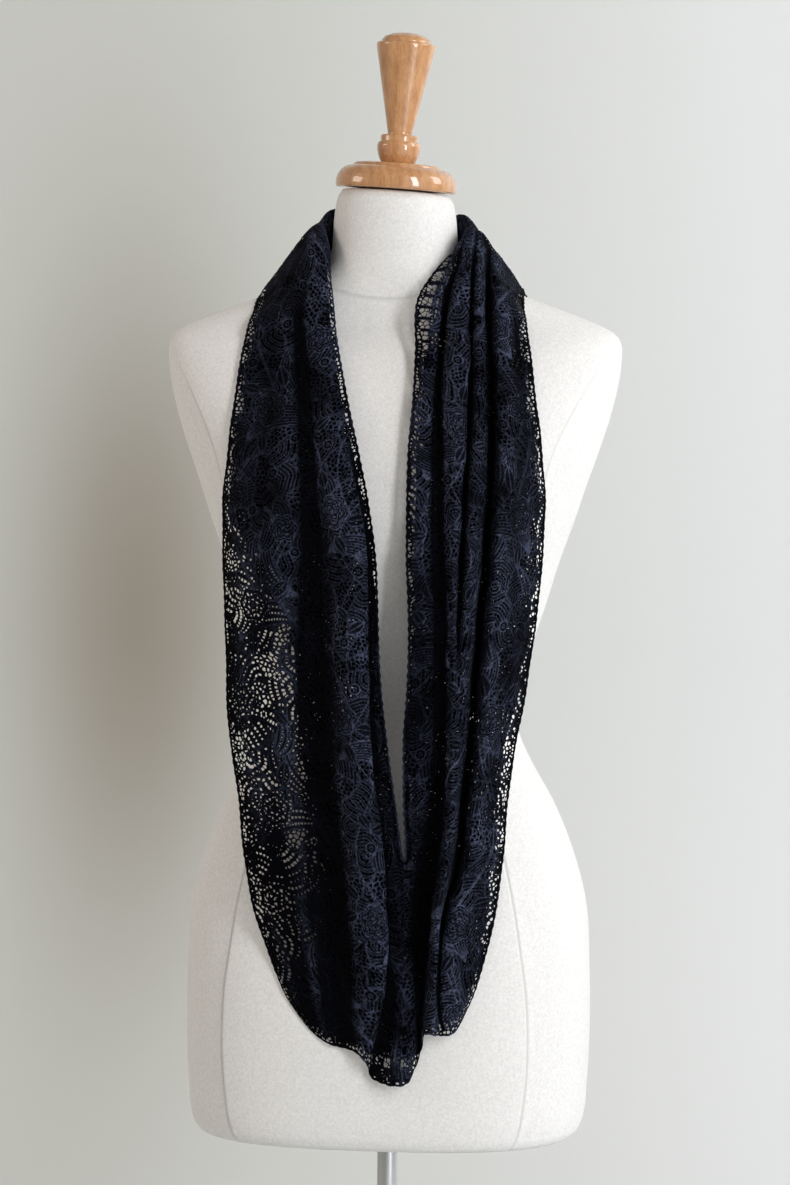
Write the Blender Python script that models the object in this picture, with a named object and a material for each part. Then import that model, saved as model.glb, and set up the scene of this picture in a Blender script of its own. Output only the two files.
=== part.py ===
"""Lace mantilla loop on a limbless dress form: wide strip of lace hung round the neck, form, wood, stand.

All sizes in the tables are millimetres, with the floor at height 0 and the pole at x = 0, y = 0.
The front of the form faces -y, so "front" columns count towards -y.
"""

import math

import bpy
import numpy as np
from mathutils import Matrix

MM = 0.001
GAP = 0.3
CLOTH_WALL = 1.0
CLOTH_CLEAR = 1.3

# Stand
BASE_RADIUS = 200.0
POLE_RADIUS = 8.5
SOCKET_RADIUS = 8.8
SOCKET_TOP = 446.0
HEM_Z = 386.5

# Wood on the neck
NECK_TOP_Z = 1184.5
FINIAL_LEAN = math.radians(3.7)

# Dress form, level by level: height, half width, depth in front, depth behind, squareness
FORM_LEVELS = [
    (386.5, 150.0, 102.0, 103.0, 2.6),
    (388.5, 156.0, 108.0, 109.0, 2.6),
    (393.0, 161.5, 112.5, 113.5, 2.6),
    (402.0, 165.5, 115.5, 116.5, 2.6),
    (430.0, 168.5, 117.5, 118.5, 2.6),
    (470.0, 170.5, 119.0, 119.5, 2.6),
    (530.0, 170.0, 118.5, 120.0, 2.6),
    (582.0, 167.0, 115.0, 118.0, 2.5),
    (625.0, 156.0, 109.5, 111.0, 2.45),
    (667.0, 139.0, 103.0, 100.0, 2.4),
    (701.0, 120.0, 96.0, 90.0, 2.35),
    (724.0, 109.5, 91.5, 85.0, 2.3),
    (748.0, 105.5, 89.0, 82.0, 2.3),
    (775.0, 109.0, 91.0, 82.0, 2.3),
    (803.0, 120.0, 96.0, 85.0, 2.3),
    (837.0, 131.5, 102.0, 90.0, 2.3),
    (871.0, 142.0, 108.0, 95.0, 2.3),
    (906.0, 154.5, 112.0, 99.0, 2.3),
    (939.0, 165.5, 109.0, 101.0, 2.35),
    (976.0, 178.5, 101.0, 102.0, 2.4),
    (1011.0, 188.5, 89.0, 100.0, 2.45),
    (1032.0, 192.5, 79.0, 95.0, 2.5),
    (1046.0, 193.5, 71.0, 89.0, 2.5),
    (1056.0, 193.0, 64.0, 83.0, 2.5),
    (1064.0, 188.0, 58.0, 77.0, 2.4),
    (1070.0, 178.0, 54.5, 72.5, 2.35),
    (1078.0, 159.0, 52.5, 68.5, 2.3),
    (1087.0, 135.0, 51.5, 65.0, 2.2),
    (1095.0, 112.5, 51.5, 62.5, 2.1),
    (1103.0, 89.0, 52.0, 60.0, 2.05),
    (1112.0, 70.0, 52.5, 57.5, 2.0),
    (1121.0, 59.5, 52.5, 55.5, 2.0),
    (1132.0, 54.5, 52.0, 53.5, 2.0),
    (1145.0, 53.0, 52.0, 52.5, 2.0),
    (1160.0, 52.0, 51.5, 51.5, 2.0),
    (1171.0, 50.5, 50.0, 50.0, 2.0),
    (1178.0, 48.5, 48.0, 48.0, 2.0),
    (1183.0, 45.0, 44.5, 44.5, 2.0),
]
# Panel seam, level by level: height, share of the half width at which the front and side panels meet
SEAM_LEVELS = [
    (386.5, 0.72), (442.0, 0.75), (514.0, 0.745), (576.0, 0.705), (620.0, 0.694), (748.0, 0.72),
    (870.0, 0.79), (933.0, 0.815), (963.0, 0.805), (993.0, 0.82), (1020.0, 0.858), (1046.0, 0.905),
    (1064.0, 0.95), (1095.0, 0.97), (1183.0, 0.97),
]
SEAM_STEP = 2.2
BUST = {"x": 76.0, "z": 915.0, "rise": 14.0, "spread_x": 48.0, "spread_z": 62.0}

# Cloth stations. Thirteen columns run from the outer edge of the strip to its inner edge.
# Viewer's left: edge, panel, panel, lip, valley, flank, crest, shoulder, fold, back, under, band, inner edge
LEFT = [
    (630, [-107.3, -90.5, -73.0, -57.7, -39.9, -25.6, -12.4, 3.2, 12.9, 10.9, 2.6, 13.0, 26.7],
     [112, 120, 125, 127, 124, 131, 143, 148, 141, 132, 126, 123, 122]),
    (679, [-113.0, -96.3, -79.4, -64.0, -44.5, -30.1, -17.4, -3.6, 6.8, 3.8, -3.5, 8.7, 20.7],
     [108, 118, 124, 127, 124, 132, 145, 150, 142, 132, 127, 124, 124]),
    (728, [-121.7, -103.5, -85.7, -69.4, -48.3, -33.7, -21.9, -8.0, 1.6, -2.4, -9.7, 2.6, 13.9],
     [104, 117, 124, 127, 124, 133, 146, 151, 143, 133, 128, 125, 126]),
    (777, [-125.2, -106.7, -87.8, -70.5, -49.0, -34.9, -23.1, -10.9, -0.5, -4.3, -11.6, -1.0, 8.5],
     [101, 116, 124, 128, 125, 133, 146, 151, 143, 134, 129, 126, 127]),
    (826, [-127.4, -108.3, -89.2, -71.0, -49.8, -36.2, -24.5, -12.3, -1.3, -6.4, -12.8, -3.1, 6.1],
     [98, 114, 123, 128, 125, 133, 145, 150, 143, 134, 129, 126, 127]),
    (875, [-130.8, -110.7, -91.3, -72.1, -50.8, -38.3, -26.9, -14.6, -3.1, -5.7, -9.5, -3.8, 3.9],
     [92, 111, 121, 127, 124, 131, 141, 146, 142, 135, 130, 127, 127]),
    (924, [-132.0, -111.3, -92.3, -73.3, -53.5, -42.2, -32.2, -21.7, -11.4, -11.0, -10.8, -7.4, -3.4],
     [86, 105, 117, 125, 123, 128, 134, 138, 136, 132, 129, 127, 126]),
    (965, [-128.7, -109.9, -92.3, -75.4, -57.8, -48.2, -39.3, -31.5, -24.2, -22.0, -19.7, -16.5, -13.2],
     [84, 96, 105, 112, 111, 115, 119, 121, 121, 119, 118, 117, 116]),
    (1006, [-124.5, -107.2, -91.5, -76.7, -62.3, -54.3, -47.2, -40.2, -34.4, -32.0, -29.7, -27.2, -24.5],
     [79, 85, 90, 95, 95, 99, 102, 104, 104, 103, 102, 101, 100]),
    (1048, [-120.6, -106.1, -93.3, -81.0, -68.7, -61.4, -55.2, -49.1, -44.1, -41.6, -39.1, -37.5, -35.8],
     [64, 69, 73, 76, 75, 78, 80, 81, 81, 80, 79, 78, 77]),
]
# Viewer's right: edge, panel, lip, valley 3, ridge, ridge, valley 2, ridge, ridge, valley 1, lip, band, inner
RIGHT = [
    (630, [108.5, 97.2, 83.6, 72.0, 68.6, 67.2, 65.3, 63.3, 59.9, 55.7, 49.4, 39.3, 28.3],
     [112, 124, 135, 120, 131, 138, 140, 140, 136, 128, 124, 122, 122]),
    (679, [111.5, 99.9, 86.6, 76.2, 72.7, 71.3, 69.1, 67.5, 65.4, 58.6, 50.8, 39.1, 26.3],
     [108, 123, 136, 118, 131, 139, 141, 141, 137, 128, 125, 124, 124]),
    (728, [118.1, 105.9, 91.9, 81.8, 78.0, 75.0, 71.0, 68.6, 66.2, 59.1, 49.8, 38.1, 26.1],
     [104, 121, 136, 118, 132, 139, 140, 140, 137, 129, 127, 126, 126]),
    (777, [126.4, 111.9, 95.5, 84.4, 80.2, 77.0, 72.5, 69.8, 66.7, 58.8, 48.6, 38.6, 29.1],
     [100, 120, 136, 117, 132, 139, 139, 140, 138, 130, 128, 127, 127]),
    (826, [132.6, 116.2, 99.2, 88.2, 83.7, 79.2, 71.9, 69.8, 66.7, 58.3, 48.3, 38.3, 29.7],
     [96, 118, 136, 116, 133, 140, 134, 140, 138, 130, 129, 128, 128]),
    (875, [136.9, 120.4, 102.8, 92.2, 87.4, 82.0, 73.3, 70.5, 65.4, 56.1, 46.3, 36.4, 27.7],
     [90, 115, 135, 114, 133, 140, 128, 139, 138, 129, 129, 129, 129]),
    (924, [138.1, 122.8, 105.4, 94.6, 89.8, 83.9, 74.9, 72.3, 64.9, 53.7, 44.2, 35.2, 27.3],
     [84, 110, 131, 113, 129, 136, 125, 134, 134, 123, 126, 127, 126]),
    (965, [135.3, 122.9, 105.5, 94.8, 90.2, 84.0, 75.2, 73.2, 63.3, 51.9, 42.8, 33.9, 26.8],
     [83, 99, 119, 101, 117, 124, 112, 123, 123, 111, 116, 117, 116]),
    (1006, [129.6, 119.4, 102.8, 92.4, 88.0, 82.8, 74.7, 72.8, 59.6, 50.2, 42.4, 35.2, 28.4],
     [79, 88, 103, 88, 101, 108, 97, 108, 108, 95, 101, 103, 102]),
    (1048, [123.2, 113.5, 99.2, 89.4, 85.4, 81.5, 73.9, 72.3, 57.3, 49.8, 44.2, 36.2, 27.8],
     [64, 69, 83, 71, 81, 87, 77, 86, 86, 74, 80, 82, 81]),
]
# Slanting stations over the shoulders: x, front, height for the same thirteen columns
LEFT_CHEST = (
    [-116.2, -103.7, -92.9, -82.5, -73.4, -66.8, -61.5, -56.2, -51.8, -49.3, -46.9, -44.9, -43.1],
    [46, 52, 56, 60, 62, 65, 67, 68, 69, 69, 68, 67, 65],
    [1075, 1080, 1085, 1089, 1093, 1093, 1094, 1094, 1093, 1093, 1092, 1091, 1089])
LEFT_SHOULDER = (
    [-112.6, -105.2, -95.2, -83.5, -75.0, -70.0, -66.0, -62.6, -59.8, -57.4, -55.2, -53.1, -51.2],
    [0, 4, 8, 12, 17, 21, 24, 27, 29, 31, 32.5, 33.5, 34],
    [1100, 1110, 1121, 1135, 1143, 1147, 1149, 1149.5, 1149, 1147, 1144, 1140, 1135])
RIGHT_CHEST = (
    [116.4, 108.9, 96.5, 84.9, 82.4, 78.5, 72.1, 69.0, 59.0, 52.4, 46.8, 38.0, 28.3],
    [46, 54, 68, 51, 64, 69, 60, 68, 68, 59, 65, 67, 66],
    [1076, 1082, 1087, 1090, 1091, 1092, 1093, 1093, 1093, 1094, 1093, 1094, 1094])
RIGHT_SHOULDER = (
    [109.5, 99.8, 87.5, 81.2, 77.4, 74.0, 71.0, 68.6, 66.2, 63.8, 61.5, 59.0, 56.6],
    [0, 7, 13, 10.5, 14, 18, 19.5, 22.5, 25, 27, 29, 30.5, 31.5],
    [1100, 1111, 1129, 1136, 1142, 1146, 1146.5, 1149, 1149, 1147, 1145, 1141, 1135])
# Behind the neck: angles of the outer and inner edge from viewer's left over the back, distance from the neck's
# axis, height
NAPE = [
    (11, -8, [114, 107, 97.5, 87.5, 79, 72, 66.5, 61.8, 59.6, 58.4, 58, 58.3, 59.3],
     [1098, 1108, 1119, 1132, 1142, 1149, 1155, 1159, 1158, 1153, 1147, 1141, 1135]),
    (26, 20, [124, 115, 104, 93, 82, 75, 68.5, 62.5, 59.2, 57.8, 57.6, 58.0, 59.0],
     [1086, 1100, 1114, 1128, 1140, 1150, 1161, 1170, 1167, 1157, 1147, 1138, 1131]),
    (56, 56, [108, 100, 92, 85, 79, 74, 69, 63.5, 60.0, 58.2, 57.6, 57.8, 58.8],
     [1060, 1081, 1101, 1117, 1130, 1143, 1156, 1168, 1165, 1156, 1147, 1139, 1132]),
    (90, 90, [98, 91, 84, 79, 76, 73, 70, 66.0, 62.0, 59.2, 58.0, 57.8, 58.8],
     [1045, 1066, 1088, 1105, 1120, 1136, 1150, 1161, 1162, 1154, 1146, 1138, 1131]),
    (124, 124, [106, 98, 90, 84, 79.5, 75, 72, 68, 63.0, 59.4, 58.0, 57.8, 58.8],
     [1058, 1079, 1099, 1113, 1126, 1138, 1147, 1157, 1160, 1153, 1145, 1138, 1131]),
    (154, 160, [116, 107, 99, 91, 84.5, 79.5, 75, 70, 64, 60.2, 58.6, 58.2, 59.0],
     [1090, 1103, 1116, 1125, 1133, 1141, 1146, 1152, 1156, 1149, 1142, 1135, 1129]),
    (169, 188, [111, 104, 94.5, 86, 80, 75, 71, 66.8, 62.5, 59.8, 58.6, 58.6, 59.6],
     [1098, 1108, 1122, 1131, 1139, 1144, 1146, 1150, 1152, 1148, 1142, 1136, 1130]),
]
# The turn at the bottom: twenty-five columns from the left outer edge across to the right outer edge
TURN = [
    ([-99.2, -85.0, -69.4, -55.1, -37.4, -22.8, -10.4, 5.0, 14.7, 11.6, 5.0, 14.7, 27.8,
      38.5, 47.2, 51.0, 55.3, 57.3, 58.7, 59.9, 60.9, 61.8, 72.6, 87.9, 103.7],
     [113, 121, 125, 126, 122, 131, 143, 147, 140, 129, 123, 121, 120,
      120, 123, 127, 136, 139, 140, 140, 138, 126, 136, 126, 113],
     [589, 590, 591, 592, 592, 593, 594, 594, 594, 594, 593, 593, 593,
      593, 594, 594, 595, 595, 595, 595, 595, 594, 595, 594, 593]),
    ([-87.6, -73.8, -60.0, -48.2, -33.1, -20.2, -8.7, 6.7, 16.6, 12.8, 6.2, 15.8, 28.1,
      39.0, 46.8, 49.5, 53.3, 54.8, 55.9, 57.0, 57.8, 58.6, 67.2, 81.6, 97.2],
     [113, 121, 124, 125, 121, 130, 141, 145, 139, 129, 123, 121, 120,
      121, 124, 129, 137, 139, 140, 140, 139, 131, 136, 126, 114],
     [554, 553, 554, 555, 555, 556, 557, 557, 557, 557, 556, 556, 556,
      556, 557, 557, 558, 558, 558, 558, 558, 558, 558, 558, 559]),
    ([-72.3, -62.1, -50.8, -40.7, -28.5, -18.5, -9.1, 1.9, 10.2, 10.6, 11.2, 16.4, 26.2,
      36.8, 44.1, 46.2, 51.0, 52.9, 54.2, 55.5, 56.6, 57.9, 65.7, 75.4, 85.9],
     [113, 119, 122, 123, 121, 127, 135, 138, 134, 129, 126, 125, 127,
      126, 125, 129, 135, 137, 138, 138, 137, 132, 134, 126, 114],
     [519, 512, 511, 509, 509, 508, 508, 507, 508, 506, 503, 499, 498,
      500, 505, 509, 514, 514, 514, 514, 514, 513, 514, 515, 522]),
    ([-58.6, -50.4, -42.5, -33.1, -25.7, -17.8, -10.6, -5.2, -1.0, 0.1, 1.4, 8.5, 23.1,
      33.5, 37.8, 41.7, 45.9, 49.5, 52.7, 55.9, 59.0, 61.8, 67.8, 72.1, 76.9],
     [114, 118, 120, 122, 121, 124, 128, 131, 131, 127, 124, 127, 131,
      129, 124, 123, 132, 134, 134, 133, 131, 127, 129, 124, 116],
     [499, 489, 482, 477, 475, 474, 472, 468, 463, 459, 452, 448, 445,
      448, 458, 467, 487, 489, 489, 488, 488, 487, 488, 491, 501]),
]

# Gaps over 4 mm: share of the piece where their rows start and stop, how many rows, and for each line of gaps
# its two columns, its first row and its number of rows
GAPS = {
    "scarf_right_front": [(0.815, 0.985, 9, [(10.95, 11.70, 0, 9), (10.20, 10.75, 3, 4)])],
    "scarf_left_front": [
        (0.02, 0.17, 6, [(2.10, 2.80, 0, 6), (1.20, 1.80, 0, 6)]),
        (0.905, 0.985, 4, [(0.20, 0.80, 0, 4)]),
    ],
    "scarf_bottom_turn": [(0.78, 0.94, 3, [(11.10, 11.65, 0, 3), (12.20, 12.75, 0, 3)])],
    "scarf_nape": [],
}
GAP_SHARE = 0.72


def hermite(knots, values, at):
    """Smooth curve through values at knots, without overshoot beyond the slopes of the chords."""
    knots = np.asarray(knots, float)
    values = np.asarray(values, float)
    at = np.clip(np.asarray(at, float), knots[0], knots[-1])
    chord = np.diff(values, axis=0) / np.diff(knots).reshape((-1,) + (1,) * (values.ndim - 1))
    slope = np.zeros_like(values)
    slope[1:-1] = 0.5 * (chord[:-1] + chord[1:])
    slope[0], slope[-1] = chord[0], chord[-1]
    k = np.clip(np.searchsorted(knots, at, side="right") - 1, 0, len(knots) - 2)
    step = (knots[k + 1] - knots[k]).reshape(at.shape + (1,) * (values.ndim - 1))
    t = ((at - knots[k]).reshape(step.shape)) / step
    a = (1 + 2 * t) * (1 - t) ** 2
    b = t * (1 - t) ** 2 * step
    c = t * t * (3 - 2 * t)
    d = t * t * (t - 1) * step
    return a * values[k] + b * slope[k] + c * values[k + 1] + d * slope[k + 1]


FORM = np.array(FORM_LEVELS)


def form_size(x, z, front):
    """Half width, depth on the asked side and squareness of the form at height z."""
    level = hermite(FORM[:, 0], FORM[:, 1:], z)
    width, square = level[..., 0], level[..., 3]
    depth = np.where(front, level[..., 1], level[..., 2])
    lift = sum(np.exp(-((x - side * BUST["x"]) / BUST["spread_x"]) ** 2) for side in (-1, 1))
    lift = BUST["rise"] * lift * np.exp(-((z - BUST["z"]) / BUST["spread_z"]) ** 2)
    return width, depth + np.where(front, lift, 0.0), square


def form_height(p):
    """Signed distance, roughly, of the points p (mm) outside the form."""
    x, y, z = p[..., 0], p[..., 1], p[..., 2]
    width, depth, square = form_size(x, z, y < 0)
    share = ((np.abs(x) / width) ** square + (np.abs(y) / depth) ** square) ** (1 / square)
    return (share - 1) * np.hypot(x, y) / np.maximum(share, 1e-6)


def clear_of_form(p, clearance):
    """Moves points that are nearer to the form than the clearance out along its surface normal."""
    p = p.copy()
    for _ in range(6):
        height = form_height(p)
        slope = np.zeros_like(p)
        for axis in range(3):
            step = np.zeros(3)
            step[axis] = 0.5
            slope[..., axis] = form_height(p + step) - form_height(p - step)
        size = np.linalg.norm(slope, axis=-1)
        away = slope / np.maximum(size, 1e-6)[..., None]
        short = np.clip(clearance - height / np.maximum(size, 0.2), 0, None)
        p += away * short[..., None]
    return p


def level_station(z, xs, fronts):
    return np.stack([np.array(xs, float), -np.array(fronts, float), np.full(len(xs), float(z))], axis=-1)


def slant_station(xs, fronts, zs):
    return np.stack([np.array(xs, float), -np.array(fronts, float), np.array(zs, float)], axis=-1)


def nape_station(outer, inner, reach, zs):
    a = np.radians(np.linspace(outer, inner, len(reach)))
    r = np.array(reach, float)
    return np.stack([-r * np.cos(a), r * np.sin(a), np.array(zs, float)], axis=-1)


def stations():
    """Station polylines of each cloth piece, from the first row to the last."""
    left = [level_station(*row) for row in LEFT] + [slant_station(*LEFT_CHEST), slant_station(*LEFT_SHOULDER)]
    right = [level_station(*row) for row in RIGHT] + [slant_station(*RIGHT_CHEST), slant_station(*RIGHT_SHOULDER)]
    nape = [left[-2], left[-1]] + [nape_station(*row) for row in NAPE] + [right[-1], right[-2]]
    first = np.concatenate([left[0], right[0][-2::-1]])
    first[12, 0] = 27.5
    above = np.concatenate([left[1], right[1][-2::-1]])
    turn = [above, first] + [slant_station(*row) for row in TURN]
    return {
        "scarf_left_front": [np.concatenate([turn_left(TURN[0])])] + left + [nape_station(*NAPE[0])],
        "scarf_right_front": [np.concatenate([turn_right(TURN[0])])] + right + [nape_station(*NAPE[-1])],
        "scarf_nape": nape,
        "scarf_bottom_turn": turn,
    }


def turn_left(row):
    return slant_station(*row)[:13]


def turn_right(row):
    return slant_station(*row)[:11:-1]


# First and last station of the piece inside its list, which has one more at each end for the curve's slope
SPANS = {
    "scarf_left_front": (1, 12),
    "scarf_right_front": (1, 12),
    "scarf_nape": (1, 9),
    "scarf_bottom_turn": (1, 5),
}


def surface(name, v, u):
    """Points of the cloth's middle surface at stations v (0 to 1 over the piece) and columns u."""
    rows = stations()[name]
    first, last = SPANS[name]
    at = first + (last - first) * np.asarray(v, float)
    table = hermite(np.arange(len(rows)), np.stack(rows), at)
    table = np.moveaxis(table, 1, 0)
    points = hermite(np.arange(table.shape[0]), table, u)
    return clear_of_form(np.moveaxis(points, 0, 1), CLOTH_CLEAR)


def normals(name, v, u):
    """Unit normals of the cloth's middle surface, the same on both sides of a join between pieces."""
    v = np.asarray(v, float)
    u = np.asarray(u, float)
    across = surface(name, v, u + 0.06) - surface(name, v, u - 0.06)
    along = surface(name, v + 0.006, u) - surface(name, v - 0.006, u)
    n = np.cross(across, along)
    return n / np.maximum(np.linalg.norm(n, axis=-1), 1e-9)[..., None]


def trim_ends(points, near, gap):
    """Pulls the first and last rows in by the given distance towards near, so that pieces stay apart."""
    points = points.copy()
    for end in (0, -1):
        way = near[end] - points[end]
        points[end] += way / np.maximum(np.linalg.norm(way, axis=-1), 1e-6)[:, None] * gap
    return points


def cloth_solid(name, points, n, holes, material):
    """Closed shell of even thickness on a grid, with a square gap in each cell listed in holes."""
    rows, cols = points.shape[:2]
    half = CLOTH_WALL / 2
    verts = [points + n * half, points - n * half]
    verts = [v.reshape(-1, 3) for v in verts]
    count = rows * cols
    points_list = [tuple(p * MM) for p in np.concatenate(verts)]
    faces = []

    def at(i, j, side):
        return side * count + i * cols + j

    holes = set(holes)
    for i in range(rows - 1):
        for j in range(cols - 1):
            top = [at(i, j, 0), at(i, j + 1, 0), at(i + 1, j + 1, 0), at(i + 1, j, 0)]
            low = [k + count for k in top]
            if (i, j) not in holes:
                faces.append(top)
                faces.append(low[::-1])
                continue
            rings = []
            for ring in (top, low):
                corner = [np.array(points_list[k]) for k in ring]
                middle = sum(corner) / 4
                start = len(points_list)
                points_list.extend(tuple(middle + (c - middle) * GAP_SHARE) for c in corner)
                rings.append(list(range(start, start + 4)))
            for k in range(4):
                m = (k + 1) % 4
                faces.append([top[k], top[m], rings[0][m], rings[0][k]])
                faces.append([low[m], low[k], rings[1][k], rings[1][m]])
                faces.append([rings[0][k], rings[0][m], rings[1][m], rings[1][k]])
    for i in range(rows - 1):
        faces.append([at(i + 1, 0, 0), at(i + 1, 0, 1), at(i, 0, 1), at(i, 0, 0)])
        faces.append([at(i, cols - 1, 0), at(i, cols - 1, 1), at(i + 1, cols - 1, 1), at(i + 1, cols - 1, 0)])
    for j in range(cols - 1):
        faces.append([at(0, j, 0), at(0, j, 1), at(0, j + 1, 1), at(0, j + 1, 0)])
        faces.append([at(rows - 1, j + 1, 0), at(rows - 1, j + 1, 1), at(rows - 1, j, 1), at(rows - 1, j, 0)])
    return solid(name, points_list, faces, material)


def solid(name, points, faces, material):
    """Mesh object with outward faces and its own material."""
    mesh = bpy.data.meshes.new(name)
    mesh.from_pydata([tuple(float(c) for c in p) for p in points], [], faces)
    mesh.update()
    volume = 0.0
    for polygon in mesh.polygons:
        corner = [mesh.vertices[k].co for k in polygon.vertices]
        for k in range(1, len(corner) - 1):
            volume += corner[0].dot(corner[k].cross(corner[k + 1]))
    if volume < 0:
        mesh.flip_normals()
    mesh.materials.append(material)
    part = bpy.data.objects.new(name, mesh)
    bpy.context.scene.collection.objects.link(part)
    return part


def make_material(name, colour, rough, metal=0.0):
    material = bpy.data.materials.new(name)
    material.use_nodes = True
    shader = material.node_tree.nodes["Principled BSDF"]
    shader.inputs["Base Color"].default_value = (*colour, 1.0)
    shader.inputs["Roughness"].default_value = rough
    shader.inputs["Metallic"].default_value = metal
    return material


def turned(name, profile, sides, material, base_z=0.0, lean=0.0):
    """Solid of revolution from (radius, height) pairs in mm; the first and last lie on the axis."""
    points = []
    faces = []
    rings = []
    for radius, height in profile:
        if radius <= 0:
            rings.append([len(points)])
            points.append((0.0, 0.0, height))
            continue
        rings.append(list(range(len(points), len(points) + sides)))
        for k in range(sides):
            a = 2 * math.pi * k / sides
            points.append((radius * math.cos(a), radius * math.sin(a), height))
    for lower, upper in zip(rings[:-1], rings[1:]):
        for k in range(sides):
            m = (k + 1) % sides
            a, b = (lower[0], lower[0]) if len(lower) == 1 else (lower[k], lower[m])
            c, d = (upper[0], upper[0]) if len(upper) == 1 else (upper[m], upper[k])
            faces.append([i for n, i in enumerate((a, b, c, d)) if i not in (a, b, c, d)[:n]])
    moved = []
    for x, y, h in points:
        moved.append(((x * math.cos(lean) + h * math.sin(lean)) * MM, y * MM,
                      (base_z + h * math.cos(lean) - x * math.sin(lean)) * MM))
    return solid(name, moved, faces, material)


def form_ring(z, panel):
    """One level ring of the form: front panel, side panel, back panel, side panel."""
    edge = float(hermite([s[0] for s in SEAM_LEVELS], [s[1] for s in SEAM_LEVELS], z))
    level = hermite(FORM[:, 0], FORM[:, 1:], z)
    square = level[3]
    split = math.acos(edge ** (square / 2))
    angles = []
    sinks = []
    front = np.linspace(math.pi + split, 2 * math.pi - split, panel)
    back = np.linspace(split, math.pi - split, panel)
    side = [(0.03, 0.9), (0.10, 1.0), (0.20, 0.7), (0.32, 0.3), (0.5, 0.0), (0.68, 0.3), (0.80, 0.7), (0.90, 1.0),
            (0.97, 0.9)]
    fade = min(1.0, max(0.0, (1100.0 - z) / 60.0)) * min(1.0, max(0.15, (z - HEM_Z) / 12.0))
    for start, stop, run in ((2 * math.pi - split, 2 * math.pi + split, front), (math.pi - split, math.pi + split, back)):
        for a in run:
            angles.append(a)
            sinks.append(0.0)
        for share, sink in side:
            angles.append(start + (stop - start) * share)
            sinks.append(sink * fade)
    ring = []
    for a, sink in zip(angles, sinks):
        c, s = math.cos(a), math.sin(a)
        x = level[0] * math.copysign(abs(c) ** (2 / square), c)
        width, depth, _ = form_size(np.array(x), np.array(z), np.array(s < 0))
        y = float(depth) * math.copysign(abs(s) ** (2 / square), s)
        reach = math.hypot(x, y)
        scale = (reach - SEAM_STEP * sink) / reach
        ring.append((x * scale, y * scale, z))
    return ring


def form_torso(material):
    """The dress form in one closed shell: rings from the hem to the neck, and a socket for the pole."""
    heights = [386.5, 388.5, 393, 402, 420, 445, 475, 505, 535, 560, 582, 603, 625, 646, 667, 684, 701, 724, 748,
               775, 803, 837, 860, 880, 900, 920, 939, 958, 976, 994, 1011, 1024, 1036, 1046, 1056, 1064, 1070, 1078,
               1087, 1095, 1103, 1112, 1121, 1132, 1150, 1166, 1176, 1181]
    rings = [form_ring(z, 12) for z in heights]
    tilt = math.tan(FINIAL_LEAN)
    top = []
    for radius, z in ((45.0, 1183.6), (30.0, 1184.2)):
        middle = [(x, y) for x, y, _ in rings[-1]]
        top.append([(x * radius / math.hypot(x, y), y * radius / math.hypot(x, y), z) for x, y in middle])
    rings += top
    rings = [[(x, y, z - (x * tilt if z > 1165 else 0.0)) for x, y, z in ring] for ring in rings]
    size = len(rings[0])
    around = [math.atan2(y, x) for x, y, _ in rings[0]]
    for z in (HEM_Z, SOCKET_TOP):
        rings.insert(0, [(SOCKET_RADIUS * math.cos(a), SOCKET_RADIUS * math.sin(a), z) for a in around])
    points = [tuple(c * MM for c in p) for ring in rings for p in ring]
    faces = []
    for i in range(len(rings) - 1):
        for k in range(size):
            m = (k + 1) % size
            faces.append([i * size + k, i * size + m, (i + 1) * size + m, (i + 1) * size + k])
    bottom, crown = len(points), len(points) + 1
    points.append((0.0, 0.0, SOCKET_TOP * MM))
    points.append((0.0, 0.0, 1184.4 * MM))
    last = (len(rings) - 1) * size
    for k in range(size):
        m = (k + 1) % size
        faces.append([bottom, m, k])
        faces.append([crown, last + k, last + m])
    return solid("form_torso", points, faces, material)


def gap_grid(name, rows, columns):
    """Row and column positions of a cloth piece with the lines of its gaps put in, and the cells that are gaps."""
    last = 12 if name != "scarf_bottom_turn" else 24
    rows_at = [float(v) for v in np.linspace(0, 1, rows + 1)]
    cols_at = [float(u) for u in np.linspace(0, last, columns + 1)]
    lines = []
    for start, stop, number, spans in GAPS[name]:
        rows_at = [v for v in rows_at if not start - 0.02 < v < stop + 0.012 or v in (0.0, 1.0)]
        rows_at += [float(v) for v in np.linspace(start, stop, number + 1)]
        for low, high, first, many in spans:
            lines.append((low, high, start, stop, number, first, many))
    for low, high, *_ in lines:
        cols_at = [u for u in cols_at if not low - 0.12 < u < high + 0.12]
    cols_at = sorted(set(cols_at + [u for line in lines for u in line[:2]]))
    rows_at = sorted(set(rows_at))
    cells = []
    for low, _, start, stop, number, first, many in lines:
        pitch = (stop - start) / number
        for k in range(first, first + many):
            middle = start + (k + 0.5) * pitch
            row = max(i for i, v in enumerate(rows_at) if v < middle)
            cells.append((row, cols_at.index(low)))
    return rows_at, cols_at, cells


def cloth_piece(name, rows, columns, material):
    rows_at, cols_at, cells = gap_grid(name, rows, columns)
    near = surface(name, [0.004, 0.996], cols_at)
    points = trim_ends(surface(name, rows_at, cols_at), near, (1.6 if name == "scarf_nape" else 0.9) * GAP)
    return cloth_solid(name, points, normals(name, rows_at, cols_at), cells, material)


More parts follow.
